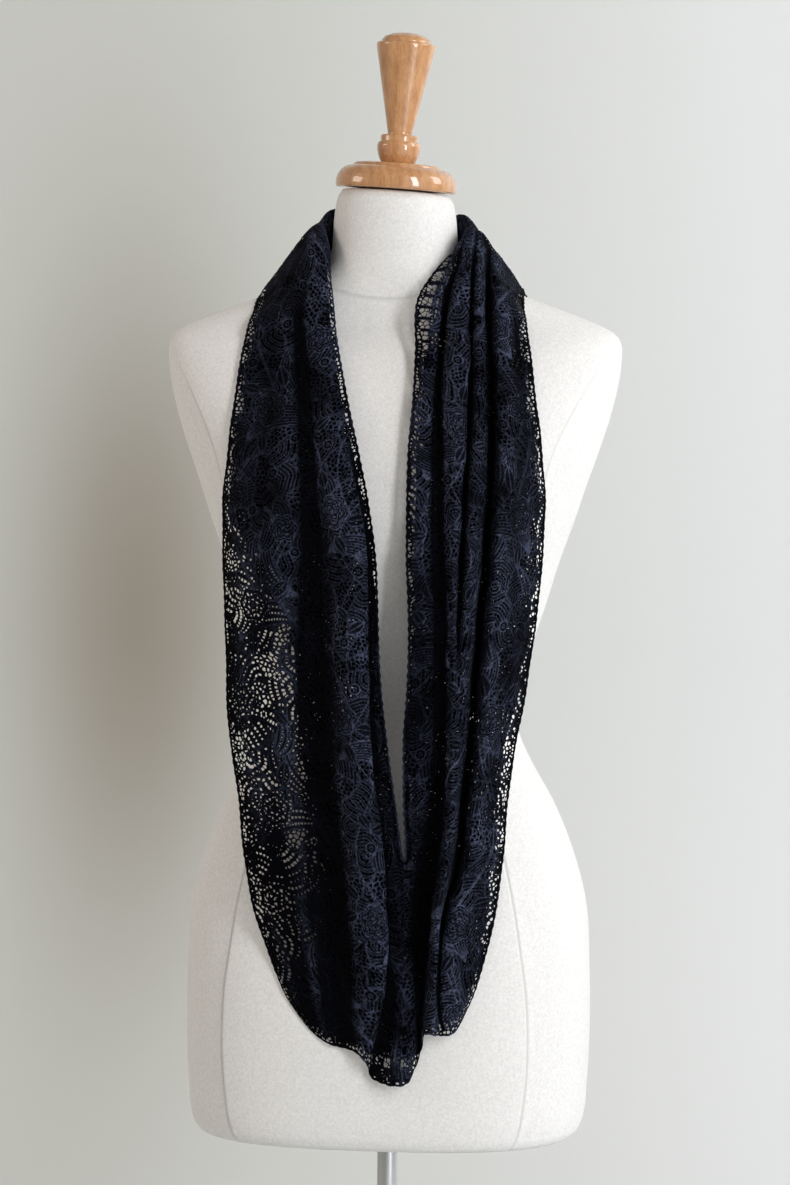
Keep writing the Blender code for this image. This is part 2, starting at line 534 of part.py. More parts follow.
FINIAL_PROFILE = [
    (0, 0), (13.5, 0), (15.2, 2.5), (17.2, 7.0), (18.3, 11.5), (18.5, 15.5), (17.6, 18.2), (15.9, 18.8), (15.9, 23.6),
    (14.9, 24.6), (10.4, 25.2), (10.6, 30), (13.4, 50), (17.2, 72), (21.6, 92), (24.4, 98), (25.1, 101), (24.2, 103.2),
    (19.4, 104.2), (19.2, 105.6), (17.0, 108.8), (12.0, 110.9), (6.0, 111.8), (0, 112),
]
CAP_PROFILE = [
    (0, 0), (49.6, 0), (51.2, 1.2), (51.6, 3.4), (51.4, 7.0), (50.2, 11.5), (47.4, 15.6), (43.6, 18.4), (40.4, 19.4),
    (37.6, 19.6), (37.0, 21.4), (35.6, 22.2), (0, 22.2),
]
BASE_PROFILE = [
    (0, 0), (197.5, 0), (200, 2.5), (199.4, 5.6), (196, 7.4), (120, 11.5), (60, 15.0),
    (32, 18.0), (21, 23.0), (17, 31.0), (16.2, 40.0), (15.0, 41.5), (8.8, 41.5), (8.8, 8.0), (0, 8.0),
]
POLE_PROFILE = [(0, 8.4), (7.7, 8.4), (8.5, 9.2), (8.5, 440), (7.7, 440.8), (0, 440.8)]


def build():
    for item in list(bpy.data.objects):
        bpy.data.objects.remove(item, do_unlink=True)
    lace = {name: make_material(name, (0.012, 0.013, 0.024), 0.75) for name in SPANS}
    jersey = make_material("form_torso", (0.86, 0.85, 0.83), 0.85)
    wood_cap = make_material("neck_cap", (0.55, 0.27, 0.11), 0.3)
    wood_knob = make_material("finial", (0.55, 0.27, 0.11), 0.3)
    chrome = make_material("pole", (0.8, 0.8, 0.82), 0.12, 1.0)
    plate = make_material("base_plate", (0.78, 0.78, 0.8), 0.2, 1.0)

    form_torso(jersey)
    turned("neck_cap", CAP_PROFILE, 36, wood_cap, NECK_TOP_Z + GAP + 0.1, FINIAL_LEAN)
    knob_z = NECK_TOP_Z + GAP + 0.1 + (22.2 + GAP) * math.cos(FINIAL_LEAN)
    knob = turned("finial", FINIAL_PROFILE, 22, wood_knob, knob_z, FINIAL_LEAN)
    knob.data.transform(lean_shift(22.2 + GAP))
    turned("pole", POLE_PROFILE, 24, chrome)
    turned("base_plate", BASE_PROFILE, 40, plate)
    cloth_piece("scarf_left_front", 16, 24, lace["scarf_left_front"])
    cloth_piece("scarf_right_front", 16, 24, lace["scarf_right_front"])
    cloth_piece("scarf_nape", 16, 20, lace["scarf_nape"])
    cloth_piece("scarf_bottom_turn", 10, 48, lace["scarf_bottom_turn"])


def lean_shift(height):
    return Matrix.Translation((height * math.sin(FINIAL_LEAN) * MM, 0.0, 0.0))


build()
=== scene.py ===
"""Lace loop scarf on a dress form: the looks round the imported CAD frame.

The lace, the form's cover, the wood and the stand are surfaces worked out with numpy, and every material is made
of nodes. Tables are in millimetres, as in the part's source: x to the viewer's right, "front" towards the viewer,
z up from the floor.
"""

import math

import bmesh
import bpy
import numpy as np
from bpy.props import FloatProperty, FloatVectorProperty, PointerProperty
from mathutils import Matrix, Vector


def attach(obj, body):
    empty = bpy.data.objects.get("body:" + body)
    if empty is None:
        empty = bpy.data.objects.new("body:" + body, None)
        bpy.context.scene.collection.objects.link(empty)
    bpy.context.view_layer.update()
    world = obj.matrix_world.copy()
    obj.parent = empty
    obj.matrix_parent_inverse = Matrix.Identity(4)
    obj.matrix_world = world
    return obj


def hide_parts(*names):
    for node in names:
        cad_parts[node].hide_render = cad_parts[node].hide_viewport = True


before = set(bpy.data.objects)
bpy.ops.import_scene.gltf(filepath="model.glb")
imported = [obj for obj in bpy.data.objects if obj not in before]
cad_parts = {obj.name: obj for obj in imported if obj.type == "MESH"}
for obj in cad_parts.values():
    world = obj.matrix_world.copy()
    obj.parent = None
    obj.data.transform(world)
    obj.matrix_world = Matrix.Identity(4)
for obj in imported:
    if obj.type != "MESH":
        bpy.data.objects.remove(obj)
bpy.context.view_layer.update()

bl_info = {
    "name": "Lace loop on a dress form",
    "version": (1, 0, 0),
    "blender": (4, 5, 0),
    "location": "3D view > Sidebar > Lace loop",
    "description": "Builds the lace loop, its dress form, the turned wood and the stand as separate pieces",
    "category": "Object",
}

MM = 0.001                   # metres in a millimetre
ROOT = "root"                # the one body of the frame
CLOTH_CLEAR = 1.3            # from the form's surface to the middle of the cloth
HEM_Z = 386.5                # underside of the form
SOCKET_RADIUS = 8.8
SOCKET_TOP = 446.0
NECK_FOOT_Z = 1112.0         # from here up the rings of the neck tilt with the wood
NECK_RIM_Z = 1183.0
NECK_TOP_Z = 1184.5
WOOD_LEAN = math.radians(3.7)
WOOD_GAP = 0.3               # between one turned piece and the next
CAP_LIFT = 0.1               # more room under the cap, for the rim that leans

# Dress form, level by level: height, half width, depth in front, depth behind, squareness
FORM_LEVELS = [
    (386.5, 150.0, 102.0, 103.0, 2.6),
    (388.5, 156.0, 108.0, 109.0, 2.6),
    (393.0, 161.5, 112.5, 113.5, 2.6),
    (402.0, 165.5, 115.5, 116.5, 2.6),
    (430.0, 168.5, 117.5, 118.5, 2.6),
    (470.0, 170.5, 119.0, 119.5, 2.6),
    (530.0, 170.0, 118.5, 120.0, 2.6),
    (582.0, 167.0, 115.0, 118.0, 2.5),
    (625.0, 156.0, 109.5, 111.0, 2.45),
    (667.0, 139.0, 103.0, 100.0, 2.4),
    (701.0, 120.0, 96.0, 90.0, 2.35),
    (724.0, 109.5, 91.5, 85.0, 2.3),
    (748.0, 105.5, 89.0, 82.0, 2.3),
    (775.0, 109.0, 91.0, 82.0, 2.3),
    (803.0, 120.0, 96.0, 85.0, 2.3),
    (837.0, 131.5, 102.0, 90.0, 2.3),
    (871.0, 142.0, 108.0, 95.0, 2.3),
    (906.0, 154.5, 112.0, 99.0, 2.3),
    (939.0, 165.5, 109.0, 101.0, 2.35),
    (976.0, 178.5, 101.0, 102.0, 2.4),
    (1011.0, 188.5, 89.0, 100.0, 2.45),
    (1032.0, 192.5, 79.0, 95.0, 2.5),
    (1046.0, 193.5, 71.0, 89.0, 2.5),
    (1056.0, 193.0, 64.0, 83.0, 2.5),
    (1064.0, 188.0, 58.0, 77.0, 2.4),
    (1070.0, 178.0, 54.5, 72.5, 2.35),
    (1078.0, 159.0, 52.5, 68.5, 2.3),
    (1087.0, 135.0, 51.5, 65.0, 2.2),
    (1095.0, 112.5, 51.5, 62.5, 2.1),
    (1103.0, 89.0, 52.0, 60.0, 2.05),
    (1112.0, 70.0, 52.5, 57.5, 2.0),
    (1121.0, 59.5, 52.5, 55.5, 2.0),
    (1132.0, 54.5, 52.0, 53.5, 2.0),
    (1145.0, 53.0, 52.0, 52.5, 2.0),
    (1160.0, 52.0, 51.5, 51.5, 2.0),
    (1171.0, 50.5, 50.0, 50.0, 2.0),
    (1178.0, 48.5, 48.0, 48.0, 2.0),
    (1183.0, 45.0, 44.5, 44.5, 2.0),
]
# Panel seam, level by level: height, share of the half width at which the front and side panels meet
SEAM_LEVELS = [
    (386.5, 0.72), (442, 0.75), (514, 0.745), (576, 0.705), (620, 0.694), (748, 0.72), (870, 0.79), (933, 0.822),
    (963, 0.820), (993, 0.848), (1020, 0.895), (1046, 0.955), (1064, 0.985), (1095, 0.985), (1183, 0.985),
]
SEAM_STEP = 2.2              # how far the cover sinks beside a panel seam
BUST = {"x": 76.0, "z": 915.0, "rise": 14.0, "spread_x": 48.0, "spread_z": 62.0}

# Turned profiles from the foot up: radius, height
FINIAL_PROFILE = [
    (0, 0), (13.5, 0), (15.2, 2.5), (17.2, 7.0), (18.3, 11.5), (18.5, 15.5), (17.6, 18.2), (15.9, 18.8), (15.9, 23.6),
    (14.9, 24.6), (10.4, 25.2), (10.5, 27), (15.2, 50), (19.6, 72), (25.0, 99.0), (25.2, 101.4), (24.6, 102.6),
    (21.3, 103.4), (21.0, 104.8), (18.6, 108.0), (17.0, 108.8), (12.0, 110.9), (6.0, 111.8), (0, 112),
]
CAP_PROFILE = [
    (0, 0), (49.6, 0), (51.2, 1.2), (51.6, 3.4), (51.4, 7.0), (50.2, 11.5), (47.4, 15.6), (43.6, 18.4), (40.4, 19.4),
    (37.6, 19.6), (37.0, 21.4), (35.6, 22.2), (0, 22.2),
]
BASE_PROFILE = [
    (0, 0), (197.5, 0), (200, 2.5), (199.4, 5.6), (196, 7.4), (120, 11.5), (60, 15.0),
    (32, 18.0), (21, 23.0), (17, 31.0), (16.2, 40.0), (15.0, 41.5), (8.8, 41.5), (8.8, 8.0), (0, 8.0),
]
POLE_PROFILE = [(0, 8.4), (7.7, 8.4), (8.5, 9.2), (8.5, 440), (7.7, 440.8), (0, 440.8)]


# Cloth stations. Thirteen columns run from the outer edge of the strip to its inner edge.
# Viewer's left: edge, panel, panel, lip, valley, flank, crest, shoulder, fold, back, under, band, inner edge
LEFT = [
    (630, [-107.3, -90.5, -73.0, -57.7, -39.9, -25.6, -12.4, 3.2, 12.9, 10.9, 2.6, 13.0, 26.7],
     [112, 120, 125, 127, 124, 131, 143, 148, 141, 132, 126, 123, 122]),
    (679, [-113.0, -96.3, -79.4, -64.0, -44.5, -30.1, -17.4, -3.6, 6.8, 3.8, -3.5, 8.7, 20.7],
     [108, 118, 124, 127, 124, 132, 145, 150, 142, 132, 127, 124, 124]),
    (728, [-121.7, -103.5, -85.7, -69.4, -48.3, -33.7, -21.9, -8.0, 1.6, -2.4, -9.7, 2.6, 13.9],
     [104, 117, 124, 127, 124, 133, 146, 151, 143, 133, 128, 125, 126]),
    (777, [-125.2, -106.7, -87.8, -70.5, -49.0, -34.9, -23.1, -10.9, -0.5, -4.3, -11.6, -1.0, 8.5],
     [101, 116, 124, 128, 125, 133, 146, 151, 143, 134, 129, 126, 127]),
    (826, [-127.4, -108.3, -89.2, -71.0, -49.8, -36.2, -24.5, -12.3, -1.3, -6.4, -12.8, -3.1, 6.1],
     [98, 114, 123, 128, 125, 133, 145, 150, 143, 134, 129, 126, 127]),
    (875, [-130.8, -110.7, -91.3, -72.1, -50.8, -38.3, -26.9, -14.6, -3.1, -5.7, -9.5, -3.8, 3.9],
     [92, 111, 121, 127, 124, 131, 141, 146, 142, 135, 130, 127, 127]),
    (924, [-132.0, -111.3, -92.3, -73.3, -53.5, -42.2, -32.2, -21.7, -11.4, -11.0, -10.8, -7.4, -3.4],
     [86, 105, 117, 125, 123, 128, 134, 138, 136, 132, 129, 127, 126]),
    (965, [-128.7, -109.9, -92.3, -75.4, -57.8, -48.2, -39.3, -31.5, -24.2, -22.0, -19.7, -16.5, -13.2],
     [84, 96, 105, 112, 111, 115, 119, 121, 121, 119, 118, 117, 116]),
    (1006, [-124.5, -107.2, -91.5, -76.7, -62.3, -54.3, -47.2, -40.2, -34.4, -32.0, -29.7, -27.2, -24.5],
     [79, 85, 90, 95, 95, 99, 102, 104, 104, 103, 102, 101, 100]),
    (1048, [-120.6, -106.1, -93.3, -81.0, -68.7, -61.4, -55.2, -49.1, -44.1, -41.6, -39.1, -37.5, -35.8],
     [64, 69, 73, 76, 75, 78, 80, 81, 81, 80, 79, 78, 77]),
]
# Viewer's right: edge, panel, lip, valley 3, ridge, ridge, valley 2, ridge, ridge, valley 1, lip, band, inner
RIGHT = [
    (630, [108.5, 97.2, 83.6, 72.0, 68.6, 67.2, 65.3, 63.3, 59.9, 55.7, 49.4, 39.3, 28.3],
     [112, 124, 135, 120, 131, 138, 140, 140, 136, 128, 124, 122, 122]),
    (679, [111.5, 99.9, 86.6, 76.2, 72.7, 71.3, 69.1, 67.5, 65.4, 58.6, 50.8, 39.1, 26.3],
     [108, 123, 136, 118, 131, 139, 141, 141, 137, 128, 125, 124, 124]),
    (728, [118.1, 105.9, 91.9, 81.8, 78.0, 75.0, 71.0, 68.6, 66.2, 59.1, 49.8, 38.1, 26.1],
     [104, 121, 136, 118, 132, 139, 140, 140, 137, 129, 127, 126, 126]),
    (777, [126.4, 111.9, 95.5, 84.4, 80.2, 77.0, 72.5, 69.8, 66.7, 58.8, 48.6, 38.6, 29.1],
     [100, 120, 136, 117, 132, 139, 139, 140, 138, 130, 128, 127, 127]),
    (826, [132.6, 116.2, 99.2, 88.2, 83.7, 79.2, 71.9, 69.8, 66.7, 58.3, 48.3, 38.3, 29.7],
     [96, 118, 136, 116, 133, 140, 134, 140, 138, 130, 129, 128, 128]),
    (875, [136.9, 120.4, 102.8, 92.2, 87.4, 82.0, 73.3, 70.5, 65.4, 56.1, 46.3, 36.4, 27.7],
     [90, 115, 135, 114, 133, 140, 128, 139, 138, 129, 129, 129, 129]),
    (924, [138.1, 122.8, 105.4, 94.6, 89.8, 83.9, 74.9, 72.3, 64.9, 53.7, 44.2, 35.2, 27.3],
     [84, 110, 131, 113, 129, 136, 125, 134, 134, 123, 126, 127, 126]),
    (965, [135.3, 122.9, 105.5, 94.8, 90.2, 84.0, 75.2, 73.2, 63.3, 51.9, 42.8, 33.9, 26.8],
     [83, 99, 119, 101, 117, 124, 112, 123, 123, 111, 116, 117, 116]),
    (1006, [129.6, 119.4, 102.8, 92.4, 88.0, 82.8, 74.7, 72.8, 59.6, 50.2, 42.4, 35.2, 28.4],
     [79, 88, 103, 88, 101, 108, 97, 108, 108, 95, 101, 103, 102]),
    (1048, [123.2, 113.5, 99.2, 89.4, 85.4, 81.5, 73.9, 72.3, 57.3, 49.8, 44.2, 36.2, 27.8],
     [64, 69, 83, 71, 81, 87, 77, 86, 86, 74, 80, 82, 81]),
]
# Slanting stations over the shoulders: x, front, height for the same thirteen columns
LEFT_CHEST = (
    [-116.2, -103.7, -92.9, -82.5, -73.4, -66.8, -61.5, -56.2, -51.8, -49.3, -46.9, -44.9, -43.1],
    [46, 52, 56, 60, 62, 65, 67, 68, 69, 69, 68, 67, 65],
    [1075, 1080, 1085, 1089, 1093, 1093, 1094, 1094, 1093, 1093, 1092, 1091, 1089])
LEFT_SHOULDER = (
    [-112.6, -105.2, -95.2, -83.5, -75.0, -70.0, -66.0, -62.6, -59.8, -57.4, -55.2, -53.1, -51.2],
    [0, 4, 8, 12, 17, 21, 24, 27, 29, 31, 32.5, 33.5, 34],
    [1100, 1110, 1121, 1135, 1143, 1147, 1149, 1149.5, 1149, 1147, 1144, 1140, 1135])
RIGHT_CHEST = (
    [116.4, 108.9, 96.5, 84.9, 82.4, 78.5, 72.1, 69.0, 59.0, 52.4, 46.8, 38.0, 28.3],
    [46, 54, 68, 51, 64, 69, 60, 68, 68, 59, 65, 67, 66],
    [1076, 1082, 1087, 1090, 1091, 1092, 1093, 1093, 1093, 1094, 1093, 1094, 1094])
RIGHT_SHOULDER = (
    [109.5, 99.8, 87.5, 81.2, 77.4, 74.0, 71.0, 68.6, 66.2, 63.8, 61.5, 59.0, 56.6],
    [0, 7, 13, 10.5, 14, 18, 19.5, 22.5, 25, 27, 29, 30.5, 31.5],
    [1100, 1111, 1129, 1136, 1142, 1146, 1146.5, 1149, 1149, 1147, 1145, 1141, 1135])
# Behind the neck: angles of the outer and inner edge from viewer's left over the back, distance from the neck's
# axis, height
NAPE = [
    (11, -8, [114, 107, 97.5, 87.5, 79, 72, 66.5, 61.8, 59.6, 58.4, 58, 58.3, 59.3],
     [1098, 1108, 1119, 1132, 1142, 1149, 1155, 1159, 1158, 1153, 1147, 1141, 1135]),
    (26, 20, [124, 115, 104, 93, 82, 75, 68.5, 62.5, 59.2, 57.8, 57.6, 58.0, 59.0],
     [1086, 1100, 1114, 1128, 1140, 1150, 1161, 1170, 1167, 1157, 1147, 1138, 1131]),
    (56, 56, [108, 100, 92, 85, 79, 74, 69, 63.5, 60.0, 58.2, 57.6, 57.8, 58.8],
     [1060, 1081, 1101, 1117, 1130, 1143, 1156, 1168, 1165, 1156, 1147, 1139, 1132]),
    (90, 90, [98, 91, 84, 79, 76, 73, 70, 66.0, 62.0, 59.2, 58.0, 57.8, 58.8],
     [1045, 1066, 1088, 1105, 1120, 1136, 1150, 1161, 1162, 1154, 1146, 1138, 1131]),
    (124, 124, [106, 98, 90, 84, 79.5, 75, 72, 68, 63.0, 59.4, 58.0, 57.8, 58.8],
     [1058, 1079, 1099, 1113, 1126, 1138, 1147, 1157, 1160, 1153, 1145, 1138, 1131]),
    (154, 160, [116, 107, 99, 91, 84.5, 79.5, 75, 70, 64, 60.2, 58.6, 58.2, 59.0],
     [1090, 1103, 1116, 1125, 1133, 1141, 1146, 1152, 1156, 1149, 1142, 1135, 1129]),
    (169, 188, [111, 104, 94.5, 86, 80, 75, 71, 66.8, 62.5, 59.8, 58.6, 58.6, 59.6],
     [1098, 1108, 1122, 1131, 1139, 1144, 1146, 1150, 1152, 1148, 1142, 1136, 1130]),
]
# The turn at the bottom: twenty-five columns from the left outer edge across to the right outer edge
TURN = [
    ([-99.2, -85.0, -69.4, -55.1, -37.4, -22.8, -10.4, 5.0, 14.7, 11.6, 5.0, 14.7, 27.8,
      38.5, 47.2, 51.0, 55.3, 57.3, 58.7, 59.9, 60.9, 61.8, 72.6, 87.9, 103.7],
     [113, 121, 125, 126, 122, 131, 143, 147, 140, 129, 123, 121, 120,
      120, 123, 127, 136, 139, 140, 140, 138, 126, 136, 126, 113],
     [589, 590, 591, 592, 592, 593, 594, 594, 594, 594, 593, 593, 593,
      593, 594, 594, 595, 595, 595, 595, 595, 594, 595, 594, 593]),
    ([-87.6, -73.8, -60.0, -48.2, -33.1, -20.2, -8.7, 6.7, 16.6, 12.8, 6.2, 15.8, 28.1,
      39.0, 46.8, 49.5, 53.3, 54.8, 55.9, 57.0, 57.8, 58.6, 67.2, 81.6, 97.2],
     [113, 121, 124, 125, 121, 130, 141, 145, 139, 129, 123, 121, 120,
      121, 124, 129, 137, 139, 140, 140, 139, 131, 136, 126, 114],
     [554, 553, 554, 555, 555, 556, 557, 557, 557, 557, 556, 556, 556,
      556, 557, 557, 558, 558, 558, 558, 558, 558, 558, 558, 559]),
    ([-72.3, -62.1, -50.8, -40.7, -28.5, -18.5, -9.1, 1.9, 10.2, 10.6, 11.2, 16.4, 26.2,
      36.8, 44.1, 46.2, 51.0, 52.9, 54.2, 55.5, 56.6, 57.9, 65.7, 75.4, 85.9],
     [113, 119, 122, 123, 121, 127, 135, 138, 134, 129, 126, 125, 127,
      126, 125, 129, 135, 137, 138, 138, 137, 132, 134, 126, 114],
     [519, 512, 511, 509, 509, 508, 508, 507, 508, 506, 503, 499, 498,
      500, 505, 509, 514, 514, 514, 514, 514, 513, 514, 515, 522]),
    ([-58.6, -50.4, -42.5, -33.1, -25.7, -17.8, -10.6, -5.2, -1.0, 0.1, 1.4, 8.5, 23.1,
      33.5, 37.8, 41.7, 45.9, 49.5, 52.7, 55.9, 59.0, 61.8, 67.8, 72.1, 76.9],
     [114, 118, 120, 122, 121, 124, 128, 131, 131, 127, 124, 127, 131,
      129, 124, 123, 132, 134, 134, 133, 131, 127, 129, 124, 116],
     [499, 489, 482, 477, 475, 474, 472, 468, 463, 459, 452, 448, 445,
      448, 458, 467, 487, 489, 489, 488, 488, 487, 488, 491, 501]),
]


def hermite(knots, values, at):
    """Smooth curve through values at knots, without overshoot beyond the slopes of the chords."""
    knots = np.asarray(knots, float)
    values = np.asarray(values, float)
    at = np.clip(np.asarray(at, float), knots[0], knots[-1])
    chord = np.diff(values, axis=0) / np.diff(knots).reshape((-1,) + (1,) * (values.ndim - 1))
    slope = np.zeros_like(values)
    slope[1:-1] = 0.5 * (chord[:-1] + chord[1:])
    slope[0], slope[-1] = chord[0], chord[-1]
    k = np.clip(np.searchsorted(knots, at, side="right") - 1, 0, len(knots) - 2)
    step = (knots[k + 1] - knots[k]).reshape(at.shape + (1,) * (values.ndim - 1))
    t = ((at - knots[k]).reshape(step.shape)) / step
    a = (1 + 2 * t) * (1 - t) ** 2
    b = t * (1 - t) ** 2 * step
    c = t * t * (3 - 2 * t)
    d = t * t * (t - 1) * step
    return a * values[k] + b * slope[k] + c * values[k + 1] + d * slope[k + 1]


FORM = np.array(FORM_LEVELS)


def form_size(x, z, front):
    """Half width, depth on the asked side and squareness of the form at height z."""
    level = hermite(FORM[:, 0], FORM[:, 1:], z)
    width, square = level[..., 0], level[..., 3]
    depth = np.where(front, level[..., 1], level[..., 2])
    lift = sum(np.exp(-((x - side * BUST["x"]) / BUST["spread_x"]) ** 2) for side in (-1, 1))
    lift = BUST["rise"] * lift * np.exp(-((z - BUST["z"]) / BUST["spread_z"]) ** 2)
    return width, depth + np.where(front, lift, 0.0), square


def form_height(p):
    """Signed distance, roughly, of the points p (mm) outside the form."""
    x, y, z = p[..., 0], p[..., 1], p[..., 2]
    width, depth, square = form_size(x, z, y < 0)
    share = ((np.abs(x) / width) ** square + (np.abs(y) / depth) ** square) ** (1 / square)
    return (share - 1) * np.hypot(x, y) / np.maximum(share, 1e-6)


def clear_of_form(p, clearance):
    """Moves points that are nearer to the form than the clearance out along its surface normal."""
    p = p.copy()
    for _ in range(6):
        height = form_height(p)
        slope = np.zeros_like(p)
        for axis in range(3):
            step = np.zeros(3)
            step[axis] = 0.5
            slope[..., axis] = form_height(p + step) - form_height(p - step)
        size = np.linalg.norm(slope, axis=-1)
        away = slope / np.maximum(size, 1e-6)[..., None]
        short = np.clip(clearance - height / np.maximum(size, 0.2), 0, None)
        p += away * short[..., None]
    return p


def level_station(z, xs, fronts):
    """Points of a row of the cloth at one height: x, y as minus the front, and z."""
    return np.stack([np.array(xs, float), -np.array(fronts, float), np.full(len(xs), float(z))], axis=-1)


def slant_station(xs, fronts, zs):
    """Points of a row of the cloth that has its own height for each column."""
    return np.stack([np.array(xs, float), -np.array(fronts, float), np.array(zs, float)], axis=-1)


def nape_station(outer, inner, reach, zs):
    """Points of a row behind the neck: minus the cosine and the sine of each column's angle, times its reach."""
    a = np.radians(np.linspace(outer, inner, len(reach)))
    r = np.array(reach, float)
    return np.stack([-r * np.cos(a), r * np.sin(a), np.array(zs, float)], axis=-1)


def stations():
    """Station polylines of each cloth piece, from the first row to the last."""
    left = [level_station(*row) for row in LEFT] + [slant_station(*LEFT_CHEST), slant_station(*LEFT_SHOULDER)]
    right = [level_station(*row) for row in RIGHT] + [slant_station(*RIGHT_CHEST), slant_station(*RIGHT_SHOULDER)]
    nape = [left[-2], left[-1]] + [nape_station(*row) for row in NAPE] + [right[-1], right[-2]]
    first = np.concatenate([left[0], right[0][-2::-1]])
    first[12, 0] = 27.5
    above = np.concatenate([left[1], right[1][-2::-1]])
    turn = [above, first] + [slant_station(*row) for row in TURN]
    return {
        "scarf_left_front": [turn_left(TURN[0])] + left + [nape_station(*NAPE[0])],
        "scarf_right_front": [turn_right(TURN[0])] + right + [nape_station(*NAPE[-1])],
        "scarf_nape": nape,
        "scarf_bottom_turn": turn,
    }


def turn_left(row):
    """The turn's columns that carry on the left strand."""
    return slant_station(*row)[:13]


def turn_right(row):
    """The turn's columns that carry on the right strand, from its outer edge in."""
    return slant_station(*row)[:11:-1]


# First and last station of each piece inside its list. A list has stations beyond the piece where a curve goes on
# into the next one
SPANS = {
    "scarf_left_front": (1, 12),
    "scarf_right_front": (1, 12),
    "scarf_nape": (1, 9),
    "scarf_bottom_turn": (1, 5),
}


def surface(name, v, u):
    """Points of the cloth's middle surface at stations v (0 to 1 over the piece) and columns u."""
    rows = stations()[name]
    first, last = SPANS[name]
    at = first + (last - first) * np.asarray(v, float)
    table = hermite(np.arange(len(rows)), np.stack(rows), at)
    table = np.moveaxis(table, 1, 0)
    points = hermite(np.arange(table.shape[0]), table, u)
    return clear_of_form(np.moveaxis(points, 0, 1), CLOTH_CLEAR)


# Sampling of the cloth
FINE_COLUMNS = 20            # samples for each column of the tables, before even spacing
WALK = {                     # pieces met from the bottom edge to the centre of the nape: name, start, end
    "left": [("scarf_bottom_turn", 1.0, 0.0), ("scarf_left_front", 0.0, 1.0), ("scarf_nape", 0.0, 0.5)],
    "right": [("scarf_bottom_turn", 1.0, 0.0), ("scarf_right_front", 0.0, 1.0), ("scarf_nape", 1.0, 0.5)],
}
LENGTHS = {"scarf_bottom_turn": 150.0, "scarf_left_front": 545.0, "scarf_right_front": 542.0, "scarf_nape": 290.0}

# Large gaps one above another: side, piece, first and last share of the piece, number, first and last column
LADDERS = [
    ("right", "scarf_right_front", 0.815, 0.985, 9, 10.55, 11.72),
    ("right", "scarf_right_front", 0.872, 0.947, 4, 9.95, 10.35),
    ("left", "scarf_bottom_turn", 0.780, 0.940, 3, 11.10, 11.65),
    ("right", "scarf_bottom_turn", 0.780, 0.940, 3, 11.25, 11.80),
]

# One repeat of the lace, in millimetres from the outer edge of the strip and along it. Roses and leaves: across,
# along, size, turn in degrees
REPEAT = 168.0
ROSES = [(36, 40, 15, 10), (116, 118, 14, 70), (158, 36, 12, 200), (70, 104, 11, 140), (20, 132, 12, 40)]
LEAVES = [(55, 48, 20, 20), (24, 56, 18, 125), (34, 16, 18, 250), (46, 60, 22, 70), (130, 110, 20, -10),
          (102, 126, 20, 160), (120, 98, 18, 285), (106, 138, 18, 100), (156, 50, 16, 90), (142, 28, 18, 190),
          (82, 100, 16, -30), (60, 110, 16, 130), (14, 104, 16, 50), (168, 24, 16, -30), (82, 20, 18, 10),
          (110, 70, 16, 200), (150, 120, 16, 40), (118, 40, 16, 300)]
# Ring flowers: across, along, size
RINGS = [(13, 82, 4.8), (66, 14, 4.4), (90, 58, 4.8), (40, 118, 4.4), (140, 70, 4.8), (98, 8, 4.2),
         (164, 140, 4.6), (124, 12, 4.4), (174, 92, 4.2), (78, 84, 4.0), (132, 142, 4.2), (55, 150, 4.4)]
# Plumes: across, along, radius of the arc, first and last angle, width, number of bands
PLUMES = [(84, 84, 36, 150, 262, 19, 3), (34, 106, 24, -60, 40, 14, 2), (132, 58, 34, 20, 130, 18, 3),
          (148, 112, 30, -110, 10, 17, 3), (56, 164, 38, 60, 160, 19, 3), (8, 36, 24, -60, 50, 13, 2)]
# Vines: across, height of the wave, its phase, number of waves in a repeat
VINES = [(26, 15, 0.3, 1), (29, 15, 0.4, 1), (76, 21, 2.4, 1), (79, 20, 2.5, 1), (126, 16, 4.6, 1), (148, 24, 1.2, 1)]


def spread(i, j, seed):
    """Even pseudo-random shares for pairs of whole numbers: the fraction of a large sine of the pair."""
    value = np.sin(i * 127.1 + j * 311.7 + seed * 74.7) * 43758.5453
    return value - np.floor(value)


def cells(x, y, pitch, shake):
    """The cells round the points of a shaken triangular lattice: for each place the distance to the border
    between its two nearest points, and the nearest point."""
    high = pitch * 0.866
    row = np.floor(y / high)
    best = np.full(x.shape, 1e9)
    second = np.full(x.shape, 1e9)
    spot = np.zeros(x.shape + (2,))
    other = np.zeros(x.shape + (2,))
    for up in (-1, 0, 1, 2):
        j = row + up
        shift = 0.5 * (j % 2)
        column = np.floor(x / pitch - shift)
        for along in (-1, 0, 1, 2):
            i = column + along
            centre = np.stack([(i + shift + shake * (spread(i, j, 1) - 0.5)) * pitch,
                               (j + shake * (spread(i, j, 2) - 0.5)) * high], axis=-1)
            far = np.hypot(x - centre[..., 0], y - centre[..., 1])
            first = far < best
            middle = ~first & (far < second)
            other = np.where(first[..., None], spot, np.where(middle[..., None], centre, other))
            second = np.where(first, best, np.where(middle, far, second))
            spot = np.where(first[..., None], centre, spot)
            best = np.where(first, far, best)
    apart = np.hypot(*np.moveaxis(spot - other, -1, 0))
    return (second ** 2 - best ** 2) / (2 * apart), spot


